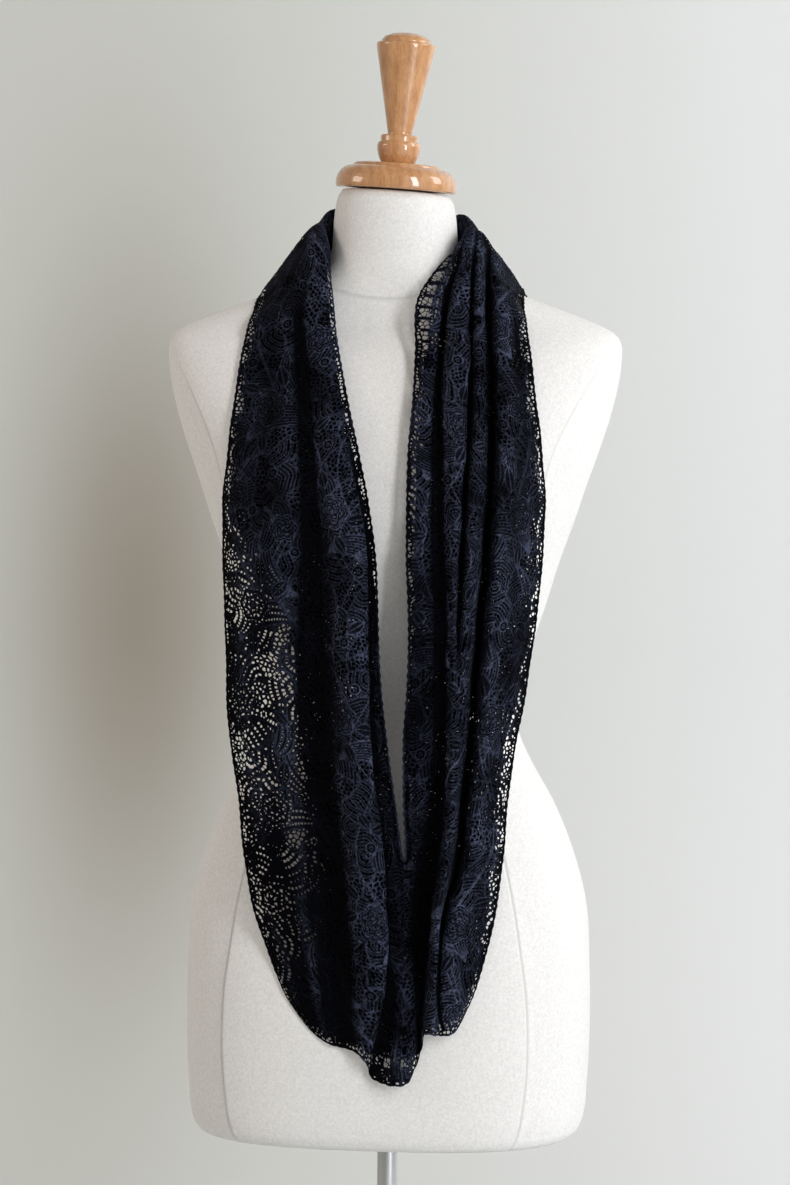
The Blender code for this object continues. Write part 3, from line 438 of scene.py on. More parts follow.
def ground(x, y, pitch, half):
    """The ground of the lace: large irregular patches with corded borders. A patch holds plain net, or bands of
    satin in arcs round a point beside it with rows of holes between them, or the same bands with small slits.
    Gives the field, the cords and the satin."""
    wave_x = x + 1.6 * np.sin(y / 8.5 + 0.7 * np.sin(x / 11.0)) + 0.7 * np.sin(y / 3.9)
    wave_y = y + 1.6 * np.sin(x / 7.5 + 0.9 * np.sin(y / 14.0)) + 0.7 * np.sin(x / 4.3)
    border, _ = cells(wave_x, wave_y, pitch, 0.72)
    swell = 0.28 * np.sin(x / 6.1 + 2.0 * np.sin(y / 13.0)) * np.sin(y / 7.3 + 1.7 * np.sin(x / 9.0))
    net = half + swell - border
    edge, centre = cells(x + 3.4 * np.sin(y / 6.5 + 0.6 * np.sin(x / 9.0)), y + 3.4 * np.sin(x / 6.0), 23.0, 0.8)
    key, kind, sort = (spread(np.round(centre[..., 0] * 3), np.round(centre[..., 1] * 3), n) for n in (5, 9, 13))
    away = 10.0 + 8.0 * sort
    dx = x - centre[..., 0] - away * np.cos(2 * math.pi * key)
    dy = y - centre[..., 1] - away * np.sin(2 * math.pi * key)
    r = np.hypot(dx, dy)
    a = np.arctan2(dy, dx)
    size = 4.6 + 1.6 * kind
    phase = r / size + (0.04 + 0.1 * sort) * np.sin(a * 6 + key * 40)
    arcs, cord = bands(phase, size, a * (np.floor(phase) + 0.75) * size, 2.7 + 1.2 * sort, 0.44 + 0.14 * key)
    plain, closed = kind < 0.32, kind > 0.78
    open_now = 0.35 * np.sin(x / 5.1 + 1.9 * np.sin(y / 6.7)) * np.sin(y / 4.7 + 1.3 * np.sin(x / 8.0))
    field = np.where(plain, net, arcs + open_now + np.where(closed, 0.45, 0.0))
    satin = np.where(plain, 0.0, np.clip(arcs + 0.6, 0, 1))
    cords = np.where(plain, np.clip(net * 1.6, 0, 1) * 0.75, np.clip(1.05 - cord / 0.85, 0, 1) * 0.85)
    line = 0.65 - np.abs(edge - 0.5)
    field = np.maximum(field, line)
    return field, np.maximum(cords, np.clip(line * 1.5, 0, 0.62)), satin


def turned_axes(x, y, degrees):
    """Coordinates along and across a direction at an angle to x: the two dot products."""
    a = math.radians(degrees)
    return x * math.cos(a) + y * math.sin(a), y * math.cos(a) - x * math.sin(a)


def bands(phase, size, run, pitch, solid):
    """Satin bands with rows of holes between them. phase counts the bands, size is one band's width and run the
    length along it: a band is solid for its first share and then open, with a thread across at every pitch.
    Gives the field and the distance to the nearest border of a band."""
    share = phase - np.floor(phase)
    edge = np.minimum(share, np.abs(share - solid))
    edge = np.minimum(edge, 1 - share) * size
    shift = 0.5 * (np.floor(phase) % 2)
    rung = np.abs((run / pitch + shift) % 1 - 0.5) * pitch
    hole = np.minimum(np.minimum(share - solid, 1 - share) * size, rung - 0.55)
    return -hole, edge


def rose(x, y, size, turn):
    """A rose: lobed rings of satin round a small centre, each ring turned against the one inside it, with a row
    of holes between rings. Gives the depth inside the outline, the field of the inside and its cords."""
    r = np.hypot(x, y)
    a = np.arctan2(y, x) + math.radians(turn)
    count = max(2, int(round(size / 5.2)))
    steps = r / size * count
    ring = np.clip(np.floor(steps), 0, count - 1)
    phase = steps - 0.22 * np.cos(6 * a + 1.9 * ring)
    run = a * size * (ring + 0.6) / count
    field, edge = bands(phase, size / count, run, 3.1, 0.58)
    centre = r < 0.22 * size
    outline = size * (1 + 0.10 * np.cos(6 * a + 1.9 * (count - 1))) - r
    return outline, np.where(centre, 1.0, field), 1.05 - edge / 0.85


def ring_flower(x, y, size, turn):
    """A small flower: a full disc in the middle, an open ring with six spokes, and a corded rim."""
    r = np.hypot(x, y)
    a = np.arctan2(y, x) + turn
    gap = np.minimum(r - 0.36 * size, 0.8 * size - r)
    inside = np.maximum(-gap, np.cos(6 * a) * 0.8 - 0.45)
    return size - r, inside, 1.0 - np.abs(r - 0.36 * size) / 0.8


def leaf(x, y, size, turn):
    """A leaf along its own x: its half width is a sine of its length, with a corded middle and slanting slits."""
    x, y = turned_axes(x, y, turn)
    share = np.clip(x / size, 0, 1)
    half = 0.24 * size * np.sin(math.pi * share ** 0.8) ** 0.85
    outline = np.minimum(half - np.abs(y), np.minimum(x + 0.3, size - x + 0.3))
    phase = (x + 0.8 * np.abs(y)) / 3.6
    slit = np.abs(phase - np.floor(phase) - 0.5) * 3.6 - 0.75
    inside = np.maximum(slit, np.maximum(1.0 - np.abs(y), 1.7 - outline))
    return outline, inside, 1.0 - np.abs(y) / 0.8


def plume(x, y, radius, start, stop, width, count):
    """A plume along an arc: its width swells and tapers with the share of the arc, and bands of satin run along
    it with ladders of holes between them."""
    r = np.hypot(x, y)
    a = np.degrees(np.arctan2(y, x))
    a = (a - start) % 360.0
    a = np.where(a > 300, a - 360.0, a)
    span = (stop - start) % 360.0
    share = np.clip(a / span, 0, 1)
    half = 0.5 * width * np.sin(math.pi * share ** 0.75) ** 0.75
    ends = np.minimum(a, span - a) * radius * math.pi / 180
    outline = np.minimum(half - np.abs(r - radius), ends)
    wide = np.maximum(2 * half, 1.0)
    phase = (r - radius + half) / wide * (count + 0.58)
    field, edge = bands(phase, wide / (count + 0.58), a * radius * math.pi / 180, 3.0, 0.58)
    return outline, field, 1.05 - edge / 0.85


class Lace:
    """The pattern on one side of the loop: a field that is positive on thread, and the height of its cords."""

    def __init__(self, across, along, settings, shift=(0.0, 0.0), dense=0.0):
        """Starts with the ground alone. shift moves the pattern and dense thickens every thread."""
        self.x = across.ravel() + shift[0]
        self.y = along.ravel() + shift[1]
        self.shape = across.shape
        self.settings = settings
        self.field, self.cord, self.satin = ground(self.x, self.y, settings.net_pitch * 1000,
                                                   settings.thread * 500)
        self.field += dense

    def near(self, x, y, reach):
        """The places in a square round a point."""
        return np.nonzero((np.abs(self.x - x) < reach) & (np.abs(self.y - y) < reach))[0]

    def lay(self, spot, outline, inside, cord):
        """Lays one motif over what is there, with a corded outline."""
        half = self.settings.cord * 500
        within = outline > 0
        self.field[spot] = np.where(within, inside, self.field[spot])
        self.satin[spot] = np.where(within, 1.0, self.satin[spot])
        self.cord[spot] = np.where(within, np.clip(cord, 0, 1), self.cord[spot])
        self.field[spot] = np.maximum(self.field[spot], half - np.abs(outline))
        self.cord[spot] = np.maximum(self.cord[spot], np.clip(1.2 - np.abs(outline) / half, 0, 1))

    def motifs(self, shift):
        """Repeats the table of motifs along the strip."""
        first = int(math.floor((self.y.min() - shift) / REPEAT)) - 1
        last = int(math.ceil((self.y.max() - shift) / REPEAT)) + 1
        for k in range(first, last):
            base = shift + k * REPEAT
            for across, wave, phase, waves in VINES:
                run = np.nonzero((self.y >= base) & (self.y < base + REPEAT))[0]
                turn = 2 * math.pi * waves * (self.y[run] - shift) / REPEAT + phase
                slope = wave * 2 * math.pi / REPEAT * np.cos(turn)
                off = np.abs(self.x[run] - across - wave * np.sin(turn)) / np.sqrt(1 + slope ** 2)
                self.field[run] = np.maximum(self.field[run], 0.6 - off)
                self.cord[run] = np.maximum(self.cord[run], np.clip(1.2 - off / 0.7, 0, 1))
            for x, y, radius, start, stop, width, count in PLUMES:
                spot = self.near(x, base + y, radius + width)
                dx, dy = self.x[spot] - x, self.y[spot] - base - y
                self.lay(spot, *plume(dx, dy, radius, start, stop, width, count))
            for shape, table in ((leaf, LEAVES), (rose, ROSES)):
                for x, y, size, turn in table:
                    spot = self.near(x, base + y, size * 1.15)
                    self.lay(spot, *shape(self.x[spot] - x, self.y[spot] - base - y, size, turn + 20 * (k % 3)))
            for x, y, size in RINGS:
                spot = self.near(x, base + y, size * 1.2)
                self.lay(spot, *ring_flower(self.x[spot] - x, self.y[spot] - base - y, size, k))

    def ladder(self, share, height, width):
        """Large gaps one above another: share runs 0 to 1 over each rung's height, width is the distance in
        from the gap's two sides. Fine threads cross each gap."""
        width = width.ravel()
        inside_gap = np.minimum((0.36 - np.abs(share.ravel() - 0.5)) * height, width - 0.9)
        threads = 0.42 - cells(self.x, self.y, 4.4, 0.7)[0]
        gap = np.maximum(-inside_gap, threads)
        spot = width > 0
        self.field = np.where(spot, gap, self.field)
        self.cord = np.where(spot, np.clip(0.9 - np.abs(inside_gap), 0, 1), self.cord)
        self.satin = np.where(spot, 0.0, self.satin)

    def border(self, inward, along, fine):
        """The long edges: a corded rim with soft scallops, and inside it a band of finer net."""
        inward = inward.ravel()
        along = along.ravel()
        edge = inward - 0.35 * (1 - np.cos(2 * math.pi * along / 7.6))
        depth = 4.6 + 2.2 * np.sin(along / 11.0) * np.sin(along / 17.0 + 1.0)
        band = (inward > 0.2) & (inward < depth)
        self.field = np.where(band, fine, self.field)
        self.cord = np.where(band, np.clip(fine, 0, 1) * 0.5, self.cord)
        self.satin = np.where(band, 0.0, self.satin)
        self.field = np.maximum(self.field, 1.15 - np.abs(inward - 1.1))
        self.field = np.maximum(self.field, np.where(band, 0.4 - np.abs(inward - depth + 0.5), -9.0))
        self.cord = np.maximum(self.cord, np.clip(1.4 - np.abs(inward - 0.9) / 0.8, 0, 1))
        self.field = np.minimum(self.field, edge)

    def cut(self, distance):
        """Ends the cloth where the distance inside an outline is nought."""
        self.field = np.minimum(self.field, distance.ravel())


def walk_side(side, pitch):
    """Rows of one side of the loop from the bottom edge up to the centre of the nape, with even steps.

    Gives, on a grid of rows and even arc-length columns counted from the outer edge: the points, the column
    of the tables, the length along the strip, the length from the bottom edge, the width left to the inner
    edge, and for each row its piece and share. Even columns come from the running length across each row."""
    names, shares, rows = [], [], []
    u = np.linspace(0, 12, 12 * FINE_COLUMNS + 1)
    for name, start, stop in WALK[side]:
        count = int(round(LENGTHS[name] * abs(stop - start) / pitch))
        v = np.linspace(start, stop, count + 1)
        columns = 24 - u if (side == "right" and name == "scarf_bottom_turn") else u
        points = surface(name, v, columns)
        if rows:
            points, v = points[1:], v[1:]
        rows.append(points)
        names += [name] * len(v)
        shares += list(v)
    points = np.concatenate(rows)
    steps = np.linalg.norm(np.diff(points, axis=0), axis=-1)
    turn_rows = sum(1 for name in names if name == "scarf_bottom_turn")
    along = np.zeros(points.shape[:2])
    along[turn_rows:] = np.cumsum(steps[turn_rows - 1:].mean(axis=1))[:, None]
    along[:turn_rows - 1] = -np.cumsum(steps[:turn_rows - 1][::-1], axis=0)[::-1]
    across = np.linalg.norm(np.diff(points, axis=1), axis=-1)
    across = np.concatenate([np.zeros((len(points), 1)), np.cumsum(across, axis=1)], axis=1)
    width = across[:, -1]
    channels = np.concatenate([points, along[..., None], (along - along[:1])[..., None],
                               np.broadcast_to(u, along.shape)[..., None]], axis=-1)
    s = np.arange(0, width.max() + 2 * pitch, pitch)
    grid = np.empty((len(points), len(s), channels.shape[-1]))
    for i, row in enumerate(channels):
        at = np.clip(np.searchsorted(across[i], s, side="right") - 1, 0, len(u) - 2)
        step = (s - across[i][at]) / np.maximum(across[i][at + 1] - across[i][at], 1e-6)
        grid[i] = row[at] + (row[at + 1] - row[at]) * step[:, None]
    return {"points": grid[..., :3], "along": grid[..., 3], "rise": grid[..., 4], "column": grid[..., 5],
            "across": np.broadcast_to(s, grid.shape[:2]), "left_over": width[:, None] - s[None, :],
            "names": np.array(names), "shares": np.array(shares), "turn_rows": turn_rows}


def facing(points, sign):
    """Unit normals of a grid of points: the cross product of the steps across and along."""
    across = np.gradient(points, axis=1)
    along = np.gradient(points, axis=0)
    n = np.cross(across, along) * sign
    return n / np.maximum(np.linalg.norm(n, axis=-1), 1e-9)[..., None]


def fold_depth(points, normals, reach):
    """How deep each place lies in a fold, in millimetres: how far it is under the mean of its row, taken over
    reach samples on both sides, or fewer beside an edge."""
    running = np.concatenate([np.zeros_like(points[:, :1]), np.cumsum(points, axis=1)], axis=1)
    k = np.arange(points.shape[1])
    span = np.minimum(np.minimum(k, k[::-1]), reach)
    mean = (running[:, k + span + 1] - running[:, k - span]) / (2 * span + 1)[None, :, None]
    return ((mean - points) * normals).sum(axis=-1)


# The doubled cloth behind the front layer, row by row: along the strip (mm above the foot of the strands), and how
# far in from the outer edge and from the inner edge the second layer starts
UNDER = {
    "left": [(-140, 8, 0), (-125, 8, 0), (-75, 46, 0), (-20, 68, 0), (200, 70, 2), (236, 62, 4), (275, 9, 5),
             (420, 7, 5), (560, 6, 5), (720, 6, 5)],
    "right": [(-140, 6, 0), (-60, 8, 1), (60, 12, 2), (150, 10, 3), (215, 6, 6), (300, 8, 8), (426, 7, 8),
              (440, 7, 21), (538, 7, 21), (556, 6, 6), (720, 6, 6)],
}
UNDER_RISE = 9.0             # the second layer ends this far above the bottom edge
UNDER_LOWEST = 470.0         # and does not reach below this height
UNDER_SHIFT = (39.0, 63.0)   # its pattern is not the front's
UNDER_DENSE = 0.45           # its threads look thicker, being seen through the front's
UNDER_STEP = 1.5             # its sampling is coarser by this factor
RIGHT_START = 0.45           # share of a repeat at which the right strand's pattern starts
# How much thicker the threads are than the pattern's own: everywhere, where the cloth is single, there in drifts
THICKER = {"all": 0.08, "single": 0.12, "drift": 0.24}

# Where the cloth rises highest beside the neck
NAPE_TIP = {"at": (53.0, 35.0, 1157.0), "reach": (15.0, 22.0, 22.0), "rise": 9.0}


def under_region(walk, side):
    """Distance in millimetres inside the outline of the second layer."""
    table = np.array(UNDER[side], float)
    along = walk["along"]
    start = np.interp(along, table[:, 0], table[:, 1])
    stop = np.interp(along, table[:, 0], table[:, 2])
    wave = 1.5 * np.sin(along / 9.0) + 1.0 * np.sin(along / 4.1 + 1.0)
    inside = np.minimum(walk["across"] - start + wave, walk["rise"] - UNDER_RISE + wave)
    strand = walk["left_over"] - stop
    in_turn = (np.arange(len(walk["names"])) < walk["turn_rows"])[:, None]
    sag = walk["points"][..., 2] - UNDER_LOWEST
    return np.minimum(np.minimum(inside, np.where(in_turn, walk["left_over"] + 0.3, strand)), sag)


# Shade of the folds. The values are shares of full shade: of single cloth, of the left strand's outer panel and
# the more that its lower part has, and of the strands' foot. Each band starts at a place (mm) and fades in over
# a length: the panel counted across the strip, the others along it
SHADE = {"single": 0.32, "panel": 0.14, "lower": 0.2, "foot": 0.12,
         "panel_band": (100.0, 20.0), "lower_bands": ((250.0, 50.0), (60.0, 90.0)), "foot_band": (40.0, 60.0)}
FOLD_REACH = 14              # a fold's depth is taken against the mean of the cloth this far to both sides


def below(value, start, fade):
    """0 above the start, rising evenly to 1 over the fade's length under it."""
    return np.clip((start - value) / fade, 0, 1)


def extra_shade(walk, side, single):
    """Shade that the depth of the folds alone does not give: the darker of the single cloth's and the left
    panel's, plus the foot's."""
    shade = SHADE["single"] * single
    if side == "left":
        low = sum(below(walk["along"], *band) for band in SHADE["lower_bands"])
        panel = below(walk["across"], *SHADE["panel_band"])
        shade = np.maximum(shade, panel * (SHADE["panel"] + SHADE["lower"] * low))
        shade = shade + SHADE["foot"] * below(walk["along"], *SHADE["foot_band"])
    return shade


def ripples(x, y):
    """Soft unevenness of the cloth across and along the strip: sums of products of sines, under 1 mm high."""
    broad = 0.45 * np.sin(x / 7.3 + 1.3 * np.sin(y / 31)) * np.sin(y / 23 + x / 19)
    return broad + 0.3 * np.sin(y / 9.1 + x / 14)


def lay_ladders(lace, walk, side):
    """Cuts the rows of large gaps: their rungs are even shares of the piece, and their width runs between two
    columns of the tables."""
    for where, name, first, last, number, low, high in LADDERS:
        if where != side:
            continue
        rung = (walk["shares"] - first) / (last - first) * number
        rows = (walk["names"] == name) & (rung > 0) & (rung < number)
        height = LENGTHS[name] * (last - first) / number
        share = np.broadcast_to((rung - np.floor(rung))[:, None], lace.shape)
        start, stop = (np.array([np.interp(column, c, s) for c, s in zip(walk["column"], walk["across"])])[:, None]
                       for column in (low, high))
        width = np.minimum(walk["across"] - start, stop - walk["across"])
        lace.ladder(share, height, np.where(rows[:, None], width, -1.0))


def lay_borders(lace, walk, in_turn):
    """Lays the border along the inner edge, rounded where the two strands part, and along the outer edge, which
    the bottom edge of the turn carries on."""
    fine = 0.85 + 0.35 * np.sin(lace.y / 5.3 + lace.x / 4.1) - cells(lace.x, lace.y, 3.9, 0.7)[0]
    apex = np.hypot(walk["left_over"], np.minimum(walk["along"], 0))
    inner = np.where(in_turn, apex, walk["left_over"])
    outer = np.minimum(walk["across"], walk["rise"] + 0.3)
    beat = np.where(walk["across"] < walk["rise"], walk["along"], walk["across"])
    lace.border(inner, walk["along"], fine)
    lace.border(outer, beat, fine)
    lace.cut(np.where(in_turn, walk["left_over"] + 0.3, walk["left_over"]))


def lace_grid(side, settings, under=False):
    """One side of the loop with its pattern: the relief of the cords and soft ripples are laid along the
    normals, and the field says where there is thread. The second layer lies a little behind the first."""
    pitch = settings.step * 1000 * (UNDER_STEP if under else 1.0)
    walk = walk_side(side, pitch)
    across, along = walk["across"], walk["along"]
    lace = Lace(across, along, settings, *((UNDER_SHIFT, UNDER_DENSE) if under else ()))
    lace.motifs(0.0 if side == "left" else RIGHT_START * REPEAT)
    single = np.clip(-under_region(walk, side) / 6.0, 0, 1)
    drift = np.sin(along / 21.0 + 1.1 * np.sin(across / 17.0)) * np.sin(across / 13.0 + 0.5)
    lace.field += (THICKER["all"] + single * (THICKER["single"] + THICKER["drift"] * drift)).ravel()
    in_turn = (np.arange(len(walk["names"])) < walk["turn_rows"])[:, None]
    if under:
        lace.cut(under_region(walk, side))
    else:
        lay_ladders(lace, walk, side)
        lay_borders(lace, walk, in_turn)
    if side == "right":
        away = np.linalg.norm((walk["points"] - NAPE_TIP["at"]) / NAPE_TIP["reach"], axis=-1)
        walk["points"][..., 2] += NAPE_TIP["rise"] * np.exp(-away ** 2)
    n = facing(walk["points"], 1.0 if side == "left" else -1.0)
    # Painted shade: the lace's colour is painted darker where the cloth lies deep between its ridges, where it is
    # single, over the left strand's outer panel and at the strands' foot.
    depth = fold_depth(walk["points"], n, int(FOLD_REACH / pitch))
    walk["fold"] = np.clip(0.5 + 0.5 * depth + extra_shade(walk, side, single), 0, 1)
    relief = settings.relief * 1000 * (lace.cord * 0.8 + lace.satin * 0.5).reshape(lace.shape)
    back = np.zeros_like(across)
    if under:
        back = np.clip(0.5 * (form_height(walk["points"]) - 0.4), 0.3, 1.7)
    moved = walk["points"] + n * (relief + ripples(across, along) - back)[..., None]
    walk["points"] = clear_of_form(moved, 0.5 if under else 0.9)
    walk["field"] = lace.field.reshape(lace.shape)
    walk["cord"] = np.clip(lace.cord, 0, 1).reshape(lace.shape)
    walk["satin"] = lace.satin.reshape(lace.shape)
    return walk


def cut_out(points, field, extras, flip):
    """Marching squares: keeps the part of the grid where the field is positive.

    A corner with a positive field is kept. On an edge between a kept and a dropped corner the cut lies where
    the field, taken as straight, is nought. Each cell is then the polygon round it of its kept corners and its
    cuts. Gives vertices, their extra values, the loops and the number of corners of each polygon."""
    data = np.concatenate([points, extras], axis=-1)
    field = np.where(np.abs(field) < 0.05, np.where(field >= 0, 0.05, -0.05), field)
    kept = field > 0

    def cuts(a, b, data_a, data_b):
        """Which edges are crossed, and the values where they are."""
        crossed = (a > 0) != (b > 0)
        t = np.clip(a / np.where(crossed, a - b, 1.0), 0.1, 0.9)[..., None]
        return crossed, data_a + (data_b - data_a) * t

    wide, wide_data = cuts(field[:, :-1], field[:, 1:], data[:, :-1], data[:, 1:])
    tall, tall_data = cuts(field[:-1], field[1:], data[:-1], data[1:])
    total = 0
    ids = []
    values = []
    for mask, source in ((kept, data), (wide, wide_data), (tall, tall_data)):
        number = np.full(mask.shape, -1)
        number[mask] = np.arange(total, total + mask.sum())
        total += int(mask.sum())
        ids.append(number)
        values.append(source[mask])
    corner, wide_id, tall_id = ids
    ring = [corner[:-1, :-1], wide_id[:-1], corner[:-1, 1:], tall_id[:, 1:],
            corner[1:, 1:], wide_id[1:], corner[1:, :-1], tall_id[:, :-1]]
    slots = np.stack(ring, axis=-1).reshape(-1, 8)
    if flip:
        slots = slots[:, ::-1]
    used = slots >= 0
    counts = used.sum(axis=1)
    slots, used, counts = slots[counts > 2], used[counts > 2], counts[counts > 2]
    return np.concatenate(values), slots[used], counts


def mesh_object(name, points, loops, counts, layers=None):
    """A smooth mesh object from points in millimetres, polygon corners and their numbers, with point attributes."""
    mesh = bpy.data.meshes.new(name)
    mesh.vertices.add(len(points))
    mesh.vertices.foreach_set("co", (np.asarray(points) * MM).ravel())
    mesh.loops.add(len(loops))
    mesh.loops.foreach_set("vertex_index", np.asarray(loops, dtype=np.int32))
    mesh.polygons.add(len(counts))
    starts = np.concatenate([[0], np.cumsum(counts)[:-1]])
    mesh.polygons.foreach_set("loop_start", starts.astype(np.int32))
    mesh.update(calc_edges=True)
    mesh.validate()
    for label, values in (layers or {}).items():
        if label == "strip":
            uv = mesh.uv_layers.new(name=label)
            uv.data.foreach_set("uv", np.asarray(values)[np.asarray(loops)].ravel())
            continue
        layer = mesh.attributes.new(label, "FLOAT", "POINT")
        layer.data.foreach_set("value", np.asarray(values, dtype=np.float32))
    mesh.polygons.foreach_set("use_smooth", np.ones(len(mesh.polygons), dtype=bool))
    made = bpy.data.objects.new(name, mesh)
    bpy.context.scene.collection.objects.link(made)
    return made


def lace_piece(name, parts):
    """Joins cut-out stretches of the lace into one object."""
    points, loops, counts = [], [], []
    total = 0
    for part_points, part_loops, part_counts in parts:
        points.append(part_points)
        loops.append(part_loops + total)
        counts.append(part_counts)
        total += len(part_points)
    values = np.concatenate(points)
    layers = {"cord": values[:, 3], "satin": values[:, 4], "fold": values[:, 5], "strip": values[:, 6:8]}
    return mesh_object(name, values[:, :3], np.concatenate(loops), np.concatenate(counts), layers)


def stretch(walk, name, side):
    """The rows of one node's stretch of a side, with the row that it shares with the stretch before."""
    rows = np.nonzero(walk["names"] == name)[0]
    rows = np.arange(max(rows[0] - 1, 0), rows[-1] + 1)
    extras = np.stack([walk[key][rows] for key in ("cord", "satin", "fold")], axis=-1)
    flat = np.stack([walk["across"][rows] * MM, walk["along"][rows] * MM], axis=-1)
    return cut_out(walk["points"][rows], walk["field"][rows], np.concatenate([extras, flat], axis=-1), side == "right")


# Node materials ------------------------------------------------------------------------------------------

class Wire:
    """A socket of a node tree. Sums, products and the like of it in Python add Math nodes."""

    def __init__(self, tree, socket=None):
        """A tree alone is enough to start from: its wire makes nodes that take no input from it."""
        self.tree = tree
        self.socket = socket

    def node(self, kind, settings=None, values=None, out=0):
        """Adds a node: its settings first, then the values or links of its sockets. Gives one of its outputs."""
        made = self.tree.nodes.new(kind)
        for name, value in (settings or {}).items():
            setattr(made, name, value)
        for name, value in (values or {}).items():
            if isinstance(value, Wire):
                self.tree.links.new(value.socket, made.inputs[name])
            else:
                made.inputs[name].default_value = value
        return Wire(self.tree, made.outputs[out])

    def math(self, operation, *values):
        """A Math node with these inputs."""
        return self.node("ShaderNodeMath", {"operation": operation}, dict(enumerate(values)))

    def __add__(self, other):
        """This plus the other."""
        return self.math("ADD", self, other)

    __radd__ = __add__

    def __sub__(self, other):
        """This less the other."""
        return self.math("SUBTRACT", self, other)

    def __rsub__(self, other):
        """The other less this."""
        return self.math("SUBTRACT", other, self)

    def __mul__(self, other):
        """This times the other."""
        return self.math("MULTIPLY", self, other)

    __rmul__ = __mul__

    def __truediv__(self, other):
        """This over the other."""
        return self.math("DIVIDE", self, other)

    def clamp(self):
        """This, kept between 0 and 1."""
        return self.node("ShaderNodeClamp", None, {"Value": self})

    def power(self, other):
        """This to the power of the other."""
        return self.math("POWER", self, other)

    def sine(self):
        """The sine of this."""
        return self.math("SINE", self)

    def mix(self, low, high):
        """Colour low where this is 0, high where it is 1."""
        return self.node("ShaderNodeMix", {"data_type": "RGBA"}, {0: self, 6: low, 7: high}, 2)

    def place(self):
        """Object coordinates."""
        return self.node("ShaderNodeTexCoord", None, None, 3)

    def attribute(self, name):
        """A number stored on the mesh's points."""
        return self.node("ShaderNodeAttribute", {"attribute_name": name}, None, 2)

    def noise(self, scale, detail=2.0, rough=0.5, vector=None, stretch=(1, 1, 1)):
        """Noise at object coordinates, or at the vector, that are first multiplied by stretch."""
        placed = self.node("ShaderNodeMapping", None, {"Vector": vector or self.place(), "Scale": stretch})
        return self.node("ShaderNodeTexNoise", None,
                         {"Vector": placed, "Scale": scale, "Detail": detail, "Roughness": rough})

    def bump(self, strength, distance):
        """The normal of a surface with this as its height."""
        return self.node("ShaderNodeBump", None, {"Height": self, "Strength": strength, "Distance": distance})

    def parts(self):
        """The x, y and z of a vector."""
        split = self.tree.nodes.new("ShaderNodeSeparateXYZ")
        self.tree.links.new(self.socket, split.inputs[0])
        return [Wire(self.tree, out) for out in split.outputs]


def rgba(colour, factor=1.0):
    """A colour times a factor, with full alpha."""
    return (colour[0] * factor, colour[1] * factor, colour[2] * factor, 1.0)


def new_material(name, links, fixed):
    """A material whose shader takes links (values that vary) and fixed numbers on its own sockets."""
    material = bpy.data.materials.new(name)
    material.use_nodes = True
    tree = material.node_tree
    shader = tree.nodes["Principled BSDF"]
    for socket, value in fixed.items():
        shader.inputs[socket].default_value = value
    for socket, wire in links(Wire(tree)).items():
        tree.links.new(wire.socket, shader.inputs[socket])
    return material


def lace_material(name, settings, light):
    """Near-black thread with paler, slightly silky cords, whose colour is partly the thread's own and partly a
    painted sheen; the bump is the twist of the thread.

    The share of the cords' colour is the cord's height squared plus a little for satin, times the light, two
    noises and the painted light share, which is low where painted shade lies deep in the folds. The doubled
    layer gets a copy of this material with painted shade: its light is cut low."""

    def links(w):
        """The values that vary."""
        cord, satin, fold = (w.attribute(label) for label in ("cord", "satin", "fold"))
        mottled = w.noise(scale=260.0, detail=3.0, rough=0.6)
        patchy = w.noise(scale=22.0, detail=2.0, rough=0.5)
        # Painted shade: where painted shade lies deep in the folds, the cords' colour gives way to the net's
        # near-black.
        painted_light_share = 1.0 - (fold * 1.5 - 0.3).clamp()
        pale = (cord * cord * 1.15 + satin * 0.06 + 0.012) * light * (mottled * 2.4 - 0.4) * (patchy * 3.2 - 0.75)
        pale = pale.clamp() * (0.03 + painted_light_share * 0.97)
        across, along, _ = w.node("ShaderNodeUVMap", {"uv_map": "strip"}).parts()
        twist = (across * 5200.0 + along * 3100.0).sine() * 0.5 + 0.5
        return {"Base Color": pale.clamp().mix(rgba(settings.net_colour), rgba(settings.cord_colour)),
                "Roughness": 0.68 - satin * 0.08 + mottled * 0.1,
                "Normal": (twist * 0.5 + mottled).bump(strength=0.5, distance=0.0004)}

    return new_material(name, links, {"Sheen Weight": 0.008, "Sheen Roughness": 0.5, "Specular IOR Level": 0.015})


def jersey_material(settings):
    """Off-white knit: fine upright ribs with a slanting stitch, small flecks and a slow mottle of tone, and painted
    shade: a darker line along each seam and in the groove round the neck."""

    def links(w):
        """The values that vary."""
        x, y, z = w.place().parts()
        around = y.math("ARCTAN2", y, x) * 170.0
        ribs = (around * 5.6).sine()
        stitch = (z * 6200.0 + ribs * 1.2).sine()
        slow = w.noise(scale=9.0, detail=3.0, rough=0.55)
        fine = w.noise(scale=900.0, detail=2.0, rough=0.6)
        fleck = w.noise(scale=420.0, detail=2.0, rough=0.7)
        # Painted shade: the colour is darker along the seams and in the neck's groove.
        seam = w.attribute("seam")
        tone = (0.3 * slow + (fleck - 0.5) * 2.4 + (fine - 0.5) * 1.6 + 0.4 - seam * 2.2).clamp()
        height = ribs * 0.35 + stitch * 0.2 + fine * 0.5
        return {"Base Color": tone.mix(rgba(settings.jersey_colour, 0.88), rgba(settings.jersey_colour, 1.05)),
                "Roughness": 0.78 + fine * 0.15,
                "Normal": height.bump(strength=0.35, distance=0.0003)}

    return new_material("jersey_cover", links, {"Sheen Weight": 0.12, "Specular IOR Level": 0.3})


